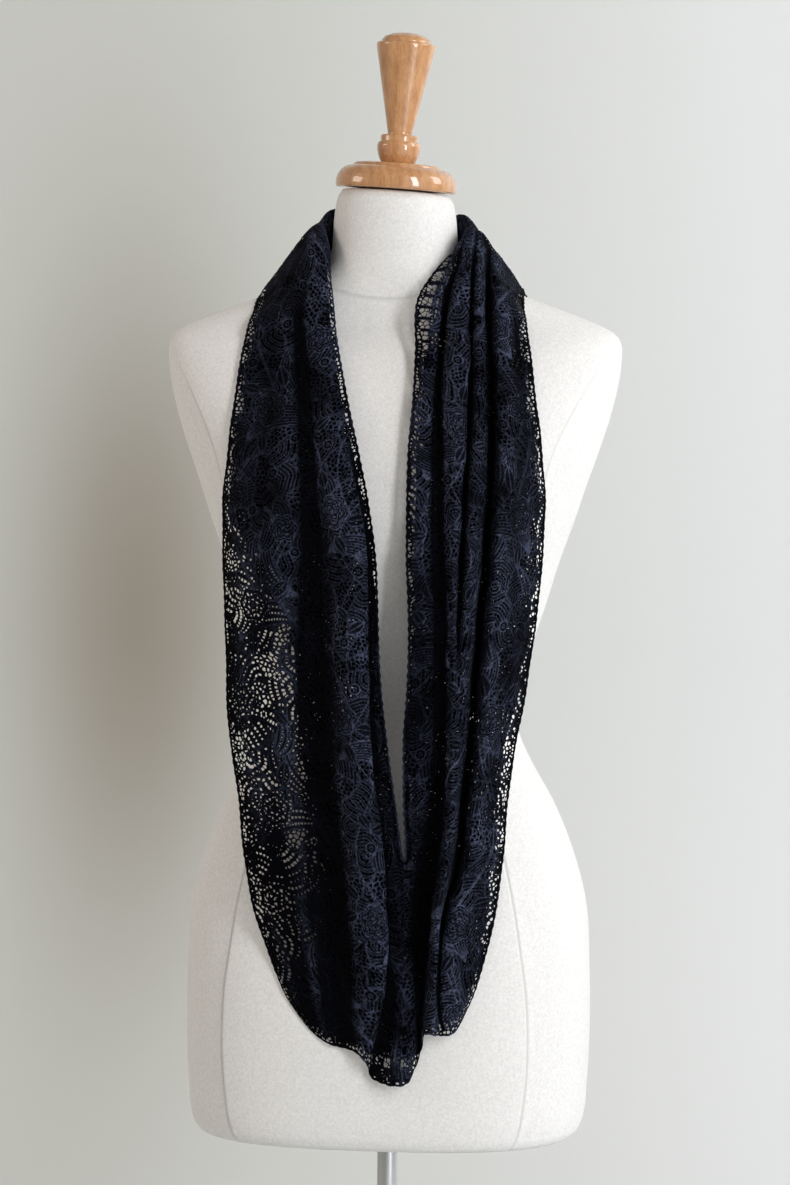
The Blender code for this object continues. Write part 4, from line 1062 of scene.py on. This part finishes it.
def wood_material(settings):
    """Varnished wood: growth rings along the turning axis, bent by a noise stretched the same way, with fine
    dark pores, soft patches and a gloss coat."""

    def links(w):
        """The values that vary."""
        place = w.place()
        x, y, _ = place.parts()
        wide = w.noise(scale=26.0, detail=3.0, rough=0.55, vector=place, stretch=(1.0, 1.0, 0.12))
        rings = ((x * 760.0 + wide * 22.0 + y * 240.0).sine() * 0.5 + 0.5).power(1.6)
        pores = w.noise(scale=640.0, detail=2.0, rough=0.7, vector=place, stretch=(1.0, 1.0, 0.06))
        patch = w.noise(scale=60.0, detail=3.0, rough=0.6, vector=place)
        tone = (rings * 0.24 + (pores - 0.5) * 1.3 + (patch - 0.5) * 1.1 + 0.32).clamp()
        return {"Base Color": tone.mix(rgba(settings.wood_light), rgba(settings.wood_dark)),
                "Roughness": 0.34 + pores * 0.12,
                "Normal": pores.bump(strength=0.12, distance=0.0002)}

    return new_material("honey_wood", links, {"Coat Weight": 1.0, "Coat Roughness": 0.04})


def metal_material(name, colour, rough, brushed):
    """Metal with faint smears, and for the base fine turned marks round the middle: a noise of the distance from
    the axis."""

    def links(w):
        """The values that vary."""
        place = w.place()
        x, y, z = place.parts()
        out = (x * x + y * y).power(0.5)
        rings = w.node("ShaderNodeCombineXYZ", None, {"X": out * 2400.0, "Z": z * 500.0})
        marks = w.noise(scale=1.0, detail=2.0, rough=0.6, vector=rings)
        smear = w.noise(scale=14.0, detail=3.0, rough=0.6, vector=place)
        shade = (0.5 + (smear - 0.5) * 0.4).clamp()
        return {"Base Color": shade.mix(rgba(colour, 0.94), rgba(colour, 1.04)),
                "Roughness": rough + smear * 0.06 + marks * brushed,
                "Normal": marks.bump(strength=0.05 + brushed, distance=0.0001)}

    return new_material(name, links, {"Metallic": 1.0})


# The backdrop, in metres: where its painted light falloff, darker at the left and lighter at the right, starts
# and stops to drift, and the middle and half sizes of the form's painted shadow
PAINTED_FALLOFF = {"from": -0.62, "to": 0.55}
SHADOW_PAINT = {"x": -0.53, "z": 0.74, "half_x": 0.17, "half_z": 0.46}


def studio_material(name, left, right, shade):
    """Plain paper: a pale tone that drifts from left to right, a painted light falloff from darker to lighter, with
    a painted shadow of the form on the left, a bell curve of the place. Seen from behind it lets the view through."""

    def links(w):
        """The values that vary."""
        x, _, z = w.place().parts()
        # Painted light: the paper's colour is darker at the left and lighter at the right.
        share = x.node("ShaderNodeMapRange", {"interpolation_type": "SMOOTHSTEP"},
                       {"Value": x, "From Min": PAINTED_FALLOFF["from"], "From Max": PAINTED_FALLOFF["to"]})
        # Painted shadow of the form on the left of the backdrop: a bell curve of the place, darkest at its middle.
        across = (x - SHADOW_PAINT["x"]) / SHADOW_PAINT["half_x"]
        up = (z - SHADOW_PAINT["z"]) / SHADOW_PAINT["half_z"]
        painted_shadow = w.math("POWER", 2.718, (across * across + up * up) * -1.0)
        grain = w.noise(scale=40.0, detail=2.0, rough=0.5)
        tone = share.mix(rgba(left), rgba(right))
        return {"Base Color": painted_shadow.mix(tone, rgba(shade)), "Roughness": 0.86 + grain * 0.08}

    material = new_material(name, links, {"Specular IOR Level": 0.15})
    tree = material.node_tree
    w = Wire(tree)
    behind = w.node("ShaderNodeNewGeometry", None, None, 6)
    clear = w.node("ShaderNodeBsdfTransparent")
    paper = Wire(tree, tree.nodes["Principled BSDF"].outputs[0])
    seen = w.node("ShaderNodeMixShader", None, {0: behind, 1: paper, 2: clear})
    tree.links.new(seen.socket, tree.nodes["Material Output"].inputs["Surface"])
    return material


# Dress form ----------------------------------------------------------------------------------------------

# Hollow beside a panel seam: share of the panel's turn from the seam, share of SEAM_STEP
CREASE = [(0.0, 0.0), (0.012, 0.55), (0.04, 0.95), (0.10, 1.0), (0.20, 0.7), (0.32, 0.3), (0.5, 0.0)]
SEAM_LINE = {"depth": 2.2, "half": 1.1}
# The groove round the neck: its height in front, how much higher it is at the sides and at the back
NECK_SEAM = {"front": 1091.0, "side_rise": 11.0, "back_rise": 16.0, "depth": 1.1, "half": 1.5}
# The seams fade out over a length below the neck, and to a least share over a length at the hem
SEAM_FADE = {"top": 1100.0, "top_length": 60.0, "hem_least": 0.15, "hem_length": 12.0}
# Levels of the cover's rings: from, to, number
RING_RUNS = [(HEM_Z, 404, 16), (404, 1084, 150), (1084, NECK_FOOT_Z, 44), (NECK_FOOT_Z, NECK_RIM_Z, 34)]
# Rings over the neck's top: share of the rim, height
CROWN = [(0.96, 1183.4), (0.9, 1183.8), (0.6, 1184.2), (0.25, 1184.4), (0.0, 1184.4)]
# Places round a panel: close together at its seams, even between them
PANEL_ENDS = [0.0, 0.0025, 0.005, 0.009, 0.014, 0.021]
PANEL_MIDDLE = (0.03, 0.97, 60)


def form_angles(split):
    """Angles round one level: front panel, side panel, back panel, side panel, close together at the seams.
    Gives also each place's share of its side panel, and 0 on the front and back."""
    near = np.array(PANEL_ENDS)
    packed = np.concatenate([near, np.linspace(*PANEL_MIDDLE), 1 - near[:0:-1]])
    bounds = [math.pi + split, 2 * math.pi - split, 2 * math.pi + split, 3 * math.pi - split, 3 * math.pi + split]
    angles = [a + (b - a) * packed for a, b in zip(bounds[:-1], bounds[1:])]
    flat = np.zeros(len(packed))
    return np.concatenate(angles), np.concatenate([flat, packed, flat, packed])


def form_surface():
    """The cover of the form: at each level a rounded rectangle, half width and depth times powers of the angle's
    cosine and sine with the table's squareness, sunk beside the panel seams, with a groove along each seam and
    round the neck. Closed under the hem up into the pole's socket and over the top. Gives the points and the
    painted seam shade of the colour: how near each is to a seam, or half as strong in the neck's groove."""
    heights = np.concatenate([np.linspace(*run)[min(k, 1):] for k, run in enumerate(RING_RUNS)])
    seam = hermite([s[0] for s in SEAM_LEVELS], [s[1] for s in SEAM_LEVELS], heights)
    rows, painted_seam_shade = [], []
    share_at, sink_at = np.array(CREASE).T
    for z, edge in zip(heights, seam):
        level = hermite(FORM[:, 0], FORM[:, 1:], np.array(z))
        square = level[3]
        angles, shares = form_angles(math.acos(edge ** (square / 2)))
        sink = np.interp(np.minimum(shares, 1 - shares), share_at, sink_at) * (shares > 0)
        fade = min(1.0, max(0.0, (SEAM_FADE["top"] - z) / SEAM_FADE["top_length"]))
        fade *= min(1.0, max(SEAM_FADE["hem_least"], (z - HEM_Z) / SEAM_FADE["hem_length"]))
        c, s = np.cos(angles), np.sin(angles)
        x = level[0] * np.sign(c) * np.abs(c) ** (2 / square)
        _, depth, _ = form_size(x, np.full_like(x, z), s < 0)
        y = depth * np.sign(s) * np.abs(s) ** (2 / square)
        reach = np.hypot(x, y)
        back = np.clip(y / 60.0, 0, 1)
        groove_z = NECK_SEAM["front"] + NECK_SEAM["side_rise"] * (x / 55.0) ** 2 + NECK_SEAM["back_rise"] * back
        groove = np.exp(-((z - groove_z) / NECK_SEAM["half"]) ** 2)
        run = np.concatenate([[0.0], np.cumsum(np.hypot(np.diff(x, append=x[:1]), np.diff(y, append=y[:1])))])
        off = np.abs(run[:-1, None] - run[::len(x) // 4][None, :]).min(axis=1)
        line = fade * np.exp(-(off / SEAM_LINE["half"]) ** 2)
        scale = (reach - SEAM_STEP * sink * fade - NECK_SEAM["depth"] * groove - SEAM_LINE["depth"] * line) / reach
        tilt = max(0.0, (z - NECK_FOOT_Z) / (NECK_RIM_Z - NECK_FOOT_Z)) ** 2
        rows.append(np.stack([x * scale, y * scale, z - x * scale * math.tan(WOOD_LEAN) * tilt], axis=-1))
        # Painted shade for the colour: near a seam, and half as strong in the neck's groove.
        painted_seam_shade.append(np.maximum(line, 0.5 * groove))
    rim_ring = rows[-1]
    for share, z in CROWN:
        flat = rim_ring * np.array([share, share, 1.0])
        flat[:, 2] = z - flat[:, 0] * math.tan(WOOD_LEAN)
        rows.append(flat)
    hem = rows[0]
    around = np.arctan2(hem[:, 1], hem[:, 0])
    socket = SOCKET_RADIUS * np.stack([np.cos(around), np.sin(around), 0 * around], axis=-1)
    lift = np.array([0.0, 0.0, 1.0])
    under = [socket * 0 + SOCKET_TOP * lift, socket + SOCKET_TOP * lift, socket + HEM_Z * lift]
    under += [(socket + (hem - socket) * share) * [1, 1, 0] + HEM_Z * lift for share in (0.33, 0.66)]
    plain = np.zeros_like(around)
    return np.stack(under + rows), np.stack([plain] * len(under) + painted_seam_shade + [plain] * len(CROWN))


def grid_quads(count, size, closed):
    """Corners of the quads of a grid of rows, which go round into a ring where it is closed."""
    i = np.arange(count - 1)[:, None] * size
    k = np.arange(size if closed else size - 1)[None, :]
    m = (k + 1) % size
    return np.stack([i + k, i + m, i + size + m, i + size + k], axis=-1).reshape(-1, 4)


def closed_grid(name, rows, layers=None):
    """A tube from rings of points: neighbouring rings are joined by quads, and doubled end points are merged."""
    quads = grid_quads(*rows.shape[:2], closed=True)
    made = mesh_object(name, rows.reshape(-1, 3), quads.ravel(), np.full(len(quads), 4), layers)
    merge(made)
    return made


def merge(made):
    """Merges points that lie together, as at a pole, and turns the faces outwards."""
    shell = bmesh.new()
    shell.from_mesh(made.data)
    bmesh.ops.remove_doubles(shell, verts=shell.verts, dist=1e-7)
    bmesh.ops.recalc_face_normals(shell, faces=shell.faces)
    shell.to_mesh(made.data)
    shell.free()


SHARP = 0.35                 # a profile's corner that turns by more than this many radians keeps its edge
CORNER_SHARE = 0.32          # the most of a straight run that a rounded corner takes


def turned_piece(name, profile, base_z, lean, sides=160, bevel=0.5):
    """Solid of revolution: each corner of the profile is a curve of the second degree between points beside it,
    which are the bevel away from a sharp corner and further from a soft one. The whole leans by turning about
    the y axis at its foot."""
    p = np.array(profile, float)
    fine = [p[0]]
    for k in range(1, len(p) - 1):
        before, after = p[k - 1] - p[k], p[k + 1] - p[k]
        la, lb = np.linalg.norm(before), np.linalg.norm(after)
        corner = math.acos(np.clip(-np.dot(before, after) / (la * lb), -1, 1))
        cut = min(bevel if corner > SHARP else math.inf, CORNER_SHARE * la, CORNER_SHARE * lb)
        a, b = p[k] + before / la * cut, p[k] + after / lb * cut
        for t in (0.0, 0.25, 0.5, 0.75, 1.0):
            fine.append(a * (1 - t) ** 2 + 2 * p[k] * t * (1 - t) + b * t * t)
    fine.append(p[-1])
    fine = np.array(fine)
    angle = np.linspace(0, 2 * math.pi, sides, endpoint=False)
    r, h = fine[:, 0][:, None], fine[:, 1][:, None]
    x, y, z = r * np.cos(angle), r * np.sin(angle), h + 0 * angle
    rows = np.stack([x * math.cos(lean) + z * math.sin(lean), y,
                     base_z + z * math.cos(lean) - x * math.sin(lean)], axis=-1)
    return closed_grid(name, rows)


# Settings and operators ----------------------------------------------------------------------------------

class LaceSettings(bpy.types.PropertyGroup):
    """Sizes and colours of the lace."""

    step: FloatProperty(name="Sampling step", description="Distance between the points of the cloth",
                        default=0.0010, min=0.0006, max=0.003, precision=5, unit="LENGTH")
    net_pitch: FloatProperty(name="Net cell", description="Distance between the holes of the net",
                             default=0.0042, min=0.002, max=0.02, precision=4, unit="LENGTH")
    thread: FloatProperty(name="Thread width", description="Width of the net's threads",
                          default=0.00155, min=0.0003, max=0.004, precision=4, unit="LENGTH")
    cord: FloatProperty(name="Cord width", description="Width of the cords round the motifs",
                        default=0.0013, min=0.0005, max=0.005, precision=4, unit="LENGTH")
    relief: FloatProperty(name="Relief", description="How far the cords stand above the net",
                          default=0.0006, min=0.0, max=0.003, precision=4, unit="LENGTH")
    net_colour: FloatVectorProperty(name="Net colour", description="Colour of the threads of the net",
                                    default=(0.0008, 0.0009, 0.0018), subtype="COLOR", min=0.0, max=1.0)
    # Partly the cords' own colour and partly a painted sheen, which the material shows where painted light falls.
    cord_colour: FloatVectorProperty(name="Cord colour", description="Colour of the silky cords",
                                     default=(0.066, 0.077, 0.128), subtype="COLOR", min=0.0, max=1.0)


class FormSettings(bpy.types.PropertyGroup):
    """Colours of the dress form, its wood and its stand."""

    jersey_colour: FloatVectorProperty(name="Jersey colour", description="Colour of the form's cover",
                                       default=(0.79, 0.785, 0.775), subtype="COLOR", min=0.0, max=1.0)
    wood_light: FloatVectorProperty(name="Light wood", description="Colour between the growth rings",
                                    default=(0.62, 0.33, 0.145), subtype="COLOR", min=0.0, max=1.0)
    wood_dark: FloatVectorProperty(name="Dark wood", description="Colour of the growth rings",
                                   default=(0.36, 0.15, 0.05), subtype="COLOR", min=0.0, max=1.0)
    chrome_colour: FloatVectorProperty(name="Pole colour", description="Colour of the polished pole",
                                       default=(0.56, 0.56, 0.57), subtype="COLOR", min=0.0, max=1.0)
    steel_colour: FloatVectorProperty(name="Base colour", description="Colour of the base plate",
                                      default=(0.70, 0.70, 0.72), subtype="COLOR", min=0.0, max=1.0)


class StageSettings(bpy.types.PropertyGroup):
    """The paper behind the object, the lights and the camera."""

    # Painted light and shade on the backdrop: darker paper at the left, lighter at the right, and the colour of the
    # form's painted shadow.
    paper_left: FloatVectorProperty(name="Paper, left", description="Colour of the backdrop at the left",
                                    default=(0.625, 0.650, 0.625), subtype="COLOR", min=0.0, max=1.0)
    paper_right: FloatVectorProperty(name="Paper, right", description="Colour of the backdrop at the right",
                                     default=(0.775, 0.80, 0.82), subtype="COLOR", min=0.0, max=1.0)
    paper_shade: FloatVectorProperty(name="Paper, cloud", description="Colour of the dim cloud beside the form",
                                     default=(0.32, 0.295, 0.255), subtype="COLOR", min=0.0, max=1.0)
    key_power: FloatProperty(name="Key light", description="Power of the soft light at the right",
                             default=96.0, min=0.0, max=2000.0, unit="POWER")
    fill_power: FloatProperty(name="Fill light", description="Power of the soft light at the left",
                              default=24.0, min=0.0, max=2000.0, unit="POWER")
    camera_turn: FloatProperty(name="Camera turn", description="How far round to the right the camera stands",
                               default=math.radians(7.5), subtype="ANGLE")
    camera_distance: FloatProperty(name="Camera distance", description="From the pole's axis to the camera",
                                   default=3.5, min=1.0, max=20.0, unit="LENGTH")


# Pieces of the lace: name, layer, the sides and nodes whose rows it takes, and the node that it replaces
LACE_PIECES = [
    ("lace_left_front", "front", [("left", "scarf_left_front")], "scarf_left_front"),
    ("lace_right_front", "front", [("right", "scarf_right_front")], "scarf_right_front"),
    ("lace_bottom_turn", "front", [("left", "scarf_bottom_turn"), ("right", "scarf_bottom_turn")],
     "scarf_bottom_turn"),
    ("lace_nape", "front", [("left", "scarf_nape"), ("right", "scarf_nape")], "scarf_nape"),
    ("lace_doubled_left", "doubled", [("left", "scarf_bottom_turn"), ("left", "scarf_left_front"),
                                      ("left", "scarf_nape")], None),
    ("lace_doubled_right", "doubled", [("right", "scarf_bottom_turn"), ("right", "scarf_right_front"),
                                       ("right", "scarf_nape")], None),
]


class MANTILLA_OT_lace(bpy.types.Operator):
    """Makes the lace loop: four stretches that meet edge to edge, and the doubled cloth behind them"""

    bl_idname = "mantilla.lace"
    bl_label = "Lace loop"

    def execute(self, context):
        settings = context.scene.mantilla_lace
        outside = lace_material("lace_right_side", settings, 1.0)
        # Painted shade: the doubled layer gets a copy of the lace's material whose colour is cut to 0.06 of the light.
        inside = lace_material("lace_doubled_painted_shade", settings, 0.06)
        sides = {side: lace_grid(side, settings) for side in ("left", "right")}
        doubled = {side: lace_grid(side, settings, under=True) for side in ("left", "right")}
        for label, layer, places, node in LACE_PIECES:
            walks, material = (doubled, inside) if layer == "doubled" else (sides, outside)
            parts = [stretch(walks[side], name, side) for side, name in places]
            made = lace_piece(label, parts)
            made.data.materials.append(material)
            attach(made, ROOT)
            if node:
                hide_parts(node)
        return {"FINISHED"}


class MANTILLA_OT_form(bpy.types.Operator):
    """Makes the dress form's padded body and its jersey cover"""

    bl_idname = "mantilla.form"
    bl_label = "Dress form"

    def execute(self, context):
        rings, seam = form_surface()
        # The seam attribute is painted shade along the seams and the neck's groove.
        made = closed_grid("form_cover", rings, {"seam": seam.ravel()})
        made.data.materials.append(jersey_material(context.scene.mantilla_form))
        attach(made, ROOT)
        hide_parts("form_torso")
        return {"FINISHED"}


class MANTILLA_OT_wood(bpy.types.Operator):
    """Makes the turned cap on the neck and the finial on it"""

    bl_idname = "mantilla.wood"
    bl_label = "Turned wood"

    def execute(self, context):
        material = wood_material(context.scene.mantilla_form)
        foot = NECK_TOP_Z + WOOD_GAP + CAP_LIFT
        cap = turned_piece("wood_neck_cap", CAP_PROFILE, foot, WOOD_LEAN)
        up = CAP_PROFILE[-1][1] + WOOD_GAP
        knob = turned_piece("wood_finial", FINIAL_PROFILE, foot + up * math.cos(WOOD_LEAN), WOOD_LEAN)
        knob.data.transform(Matrix.Translation((up * math.sin(WOOD_LEAN) * MM, 0.0, 0.0)))
        for made, node in ((cap, "neck_cap"), (knob, "finial")):
            made.data.materials.append(material)
            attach(made, ROOT)
            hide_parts(node)
        return {"FINISHED"}


class MANTILLA_OT_stand(bpy.types.Operator):
    """Makes the pole and the round base plate"""

    bl_idname = "mantilla.stand"
    bl_label = "Stand"

    def execute(self, context):
        settings = context.scene.mantilla_form
        pole = turned_piece("pole_tube", POLE_PROFILE, base_z=0.0, lean=0.0, sides=64, bevel=0.3)
        base = turned_piece("base_disc", BASE_PROFILE, base_z=0.0, lean=0.0, sides=192, bevel=0.8)
        chrome = metal_material("polished_chrome", settings.chrome_colour, rough=0.08, brushed=0.0)
        steel = metal_material("turned_steel", settings.steel_colour, rough=0.3, brushed=0.12)
        looks = ((pole, "pole", "pole_chrome", chrome), (base, "base_plate", "base_metal", steel))
        for made, node, slot, material in looks:
            made.data.materials.append(material)
            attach(made, ROOT)
            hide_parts(node)
        return {"FINISHED"}


# The photograph's frame: its size in pixels, the real size of one at the form's middle, the column of the pole's
# axis and the row where that was read, the row at the camera's height, and its roll
PHOTO = {"width": 790, "height": 1185, "mm_per_pixel": 0.85, "axis_at": 387.3, "axis_row": 1156,
         "level_row": 400.0, "roll": 0.00873}
CAMERA_Z = 1.007
SENSOR_MM = 36.0
# The sweep of paper, in metres: its front edge, the wall, the bend's radius, the wall's top, half the width
SWEEP = {"front": -3.5, "wall": 1.6, "bend": 0.7, "top": 4.5, "half_width": 4.0}
WORLD_TINT = (1.0, 0.955, 0.895, 1.0)
WORLD_STRENGTH = 0.335
BACKDROP_POWER = 30.0
# Lamps: place, width and height in metres, tint, and the point that each faces
LAMPS = {
    "key_light": ((2.5, -2.5, 1.8), (0.7, 3.0), (0.99, 0.99, 1.0), (0.0, 0.0, 0.85)),
    "fill_light": ((-2.8, -0.9, 2.0), (1.2, 1.2), (1.0, 0.86, 0.76), (0.0, 0.0, 0.85)),
    "backdrop_light": ((2.4, 0.4, 2.4), (1.0, 1.6), (1.0, 1.0, 1.0), (0.0, 1.4, 1.2)),
}


class MANTILLA_OT_stage(bpy.types.Operator):
    """Sets up the floor and backdrop, the lights and the camera"""

    bl_idname = "mantilla.stage"
    bl_label = "Stage"

    def execute(self, context):
        settings = context.scene.mantilla_stage
        self.room(settings)
        self.lights(context, settings)
        self.camera(context, settings)
        context.scene.view_settings.view_transform = "Standard"
        return {"FINISHED"}

    def room(self, settings):
        """Floor and backdrop in one sweep: straight, a quarter circle, straight."""
        bend, wall = SWEEP["bend"], SWEEP["wall"]
        turn = np.linspace(0, 1, 33)[1:] * math.pi / 2
        floor_y = np.linspace(SWEEP["front"], wall - bend, 12)
        y = np.concatenate([floor_y, wall - bend + bend * np.sin(turn), np.full(10, wall)])
        z = np.concatenate([0 * floor_y, bend - bend * np.cos(turn), np.linspace(bend, SWEEP["top"], 11)[1:]])
        x = np.linspace(-SWEEP["half_width"], SWEEP["half_width"], 40)
        grid = np.stack(np.broadcast_arrays(x[None, :], y[:, None], z[:, None]), axis=-1)
        quads = grid_quads(*grid.shape[:2], closed=False)
        made = mesh_object("studio_sweep", grid.reshape(-1, 3) / MM, quads.ravel(), np.full(len(quads), 4))
        made.data.materials.append(studio_material("studio_paper", settings.paper_left, settings.paper_right,
                                                   settings.paper_shade))

    def lights(self, context, settings):
        """Soft rectangles of light at the right, at the left and on the backdrop, and a warm even air."""
        world = bpy.data.worlds.new("studio_air")
        world.use_nodes = True
        air = world.node_tree.nodes["Background"]
        air.inputs["Color"].default_value = WORLD_TINT
        air.inputs["Strength"].default_value = WORLD_STRENGTH
        context.scene.world = world
        powers = {"key_light": settings.key_power, "fill_light": settings.fill_power,
                  "backdrop_light": BACKDROP_POWER}
        for name, (place, size, tint, aim) in LAMPS.items():
            lamp = bpy.data.lights.new(name, "AREA")
            lamp.shape = "RECTANGLE"
            lamp.size, lamp.size_y = size
            lamp.energy = powers[name]
            lamp.color = tint
            holder = bpy.data.objects.new(name, lamp)
            context.scene.collection.objects.link(holder)
            holder.location = place
            holder.rotation_euler = (Vector(place) - Vector(aim)).to_track_quat("Z", "Y").to_euler()

    def camera(self, context, settings):
        """A level camera whose picture is shifted, and rolled a little, as the photograph's is."""
        turn, far = settings.camera_turn, settings.camera_distance
        width, height = PHOTO["width"], PHOTO["height"]
        axis = PHOTO["axis_at"] + (PHOTO["axis_row"] - PHOTO["level_row"]) * PHOTO["roll"]
        lens = bpy.data.cameras.new("photo_camera")
        lens.sensor_fit = "HORIZONTAL"
        lens.sensor_width = SENSOR_MM
        lens.lens = SENSOR_MM * far / (width * PHOTO["mm_per_pixel"] * MM)
        lens.shift_x = (width / 2 - axis) / width
        lens.shift_y = (PHOTO["level_row"] - height / 2) / width
        lens.dof.use_dof = False
        holder = bpy.data.objects.new("photo_camera", lens)
        context.scene.collection.objects.link(holder)
        holder.location = (far * math.sin(turn), -far * math.cos(turn), CAMERA_Z)
        upright = Matrix.Rotation(turn, 4, "Z") @ Matrix.Rotation(math.pi / 2, 4, "X")
        holder.rotation_euler = (upright @ Matrix.Rotation(PHOTO["roll"], 4, "Z")).to_euler()
        context.scene.camera = holder


class MANTILLA_PT_panel(bpy.types.Panel):
    """Lists the settings and the pieces in the 3D view's sidebar."""

    bl_idname = "MANTILLA_PT_panel"
    bl_label = "Lace loop"
    bl_space_type = "VIEW_3D"
    bl_region_type = "UI"
    bl_category = "Lace loop"

    def draw(self, context):
        """A box of settings for each group, then a button for each operator."""
        for group in GROUPS:
            settings = getattr(context.scene, group)
            box = self.layout.box()
            for name in settings.__annotations__:
                box.prop(settings, name)
        for operator in MAKERS:
            self.layout.operator(operator.bl_idname)


GROUPS = {"mantilla_lace": LaceSettings, "mantilla_form": FormSettings, "mantilla_stage": StageSettings}
MAKERS = (MANTILLA_OT_lace, MANTILLA_OT_form, MANTILLA_OT_wood, MANTILLA_OT_stand, MANTILLA_OT_stage)


def register():
    """Adds the classes, and the settings to the scene."""
    for kind in (*GROUPS.values(), *MAKERS, MANTILLA_PT_panel):
        bpy.utils.register_class(kind)
    for name, kind in GROUPS.items():
        setattr(bpy.types.Scene, name, PointerProperty(type=kind))


def unregister():
    """Takes both away again, in the other order."""
    for name in GROUPS:
        delattr(bpy.types.Scene, name)
    for kind in (MANTILLA_PT_panel, *reversed(MAKERS), *reversed(list(GROUPS.values()))):
        bpy.utils.unregister_class(kind)


def main():
    """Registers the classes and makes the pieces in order."""
    register()
    bpy.ops.mantilla.stage()
    bpy.ops.mantilla.form()
    bpy.ops.mantilla.wood()
    bpy.ops.mantilla.stand()
    bpy.ops.mantilla.lace()


if __name__ == "__main__":
    main()
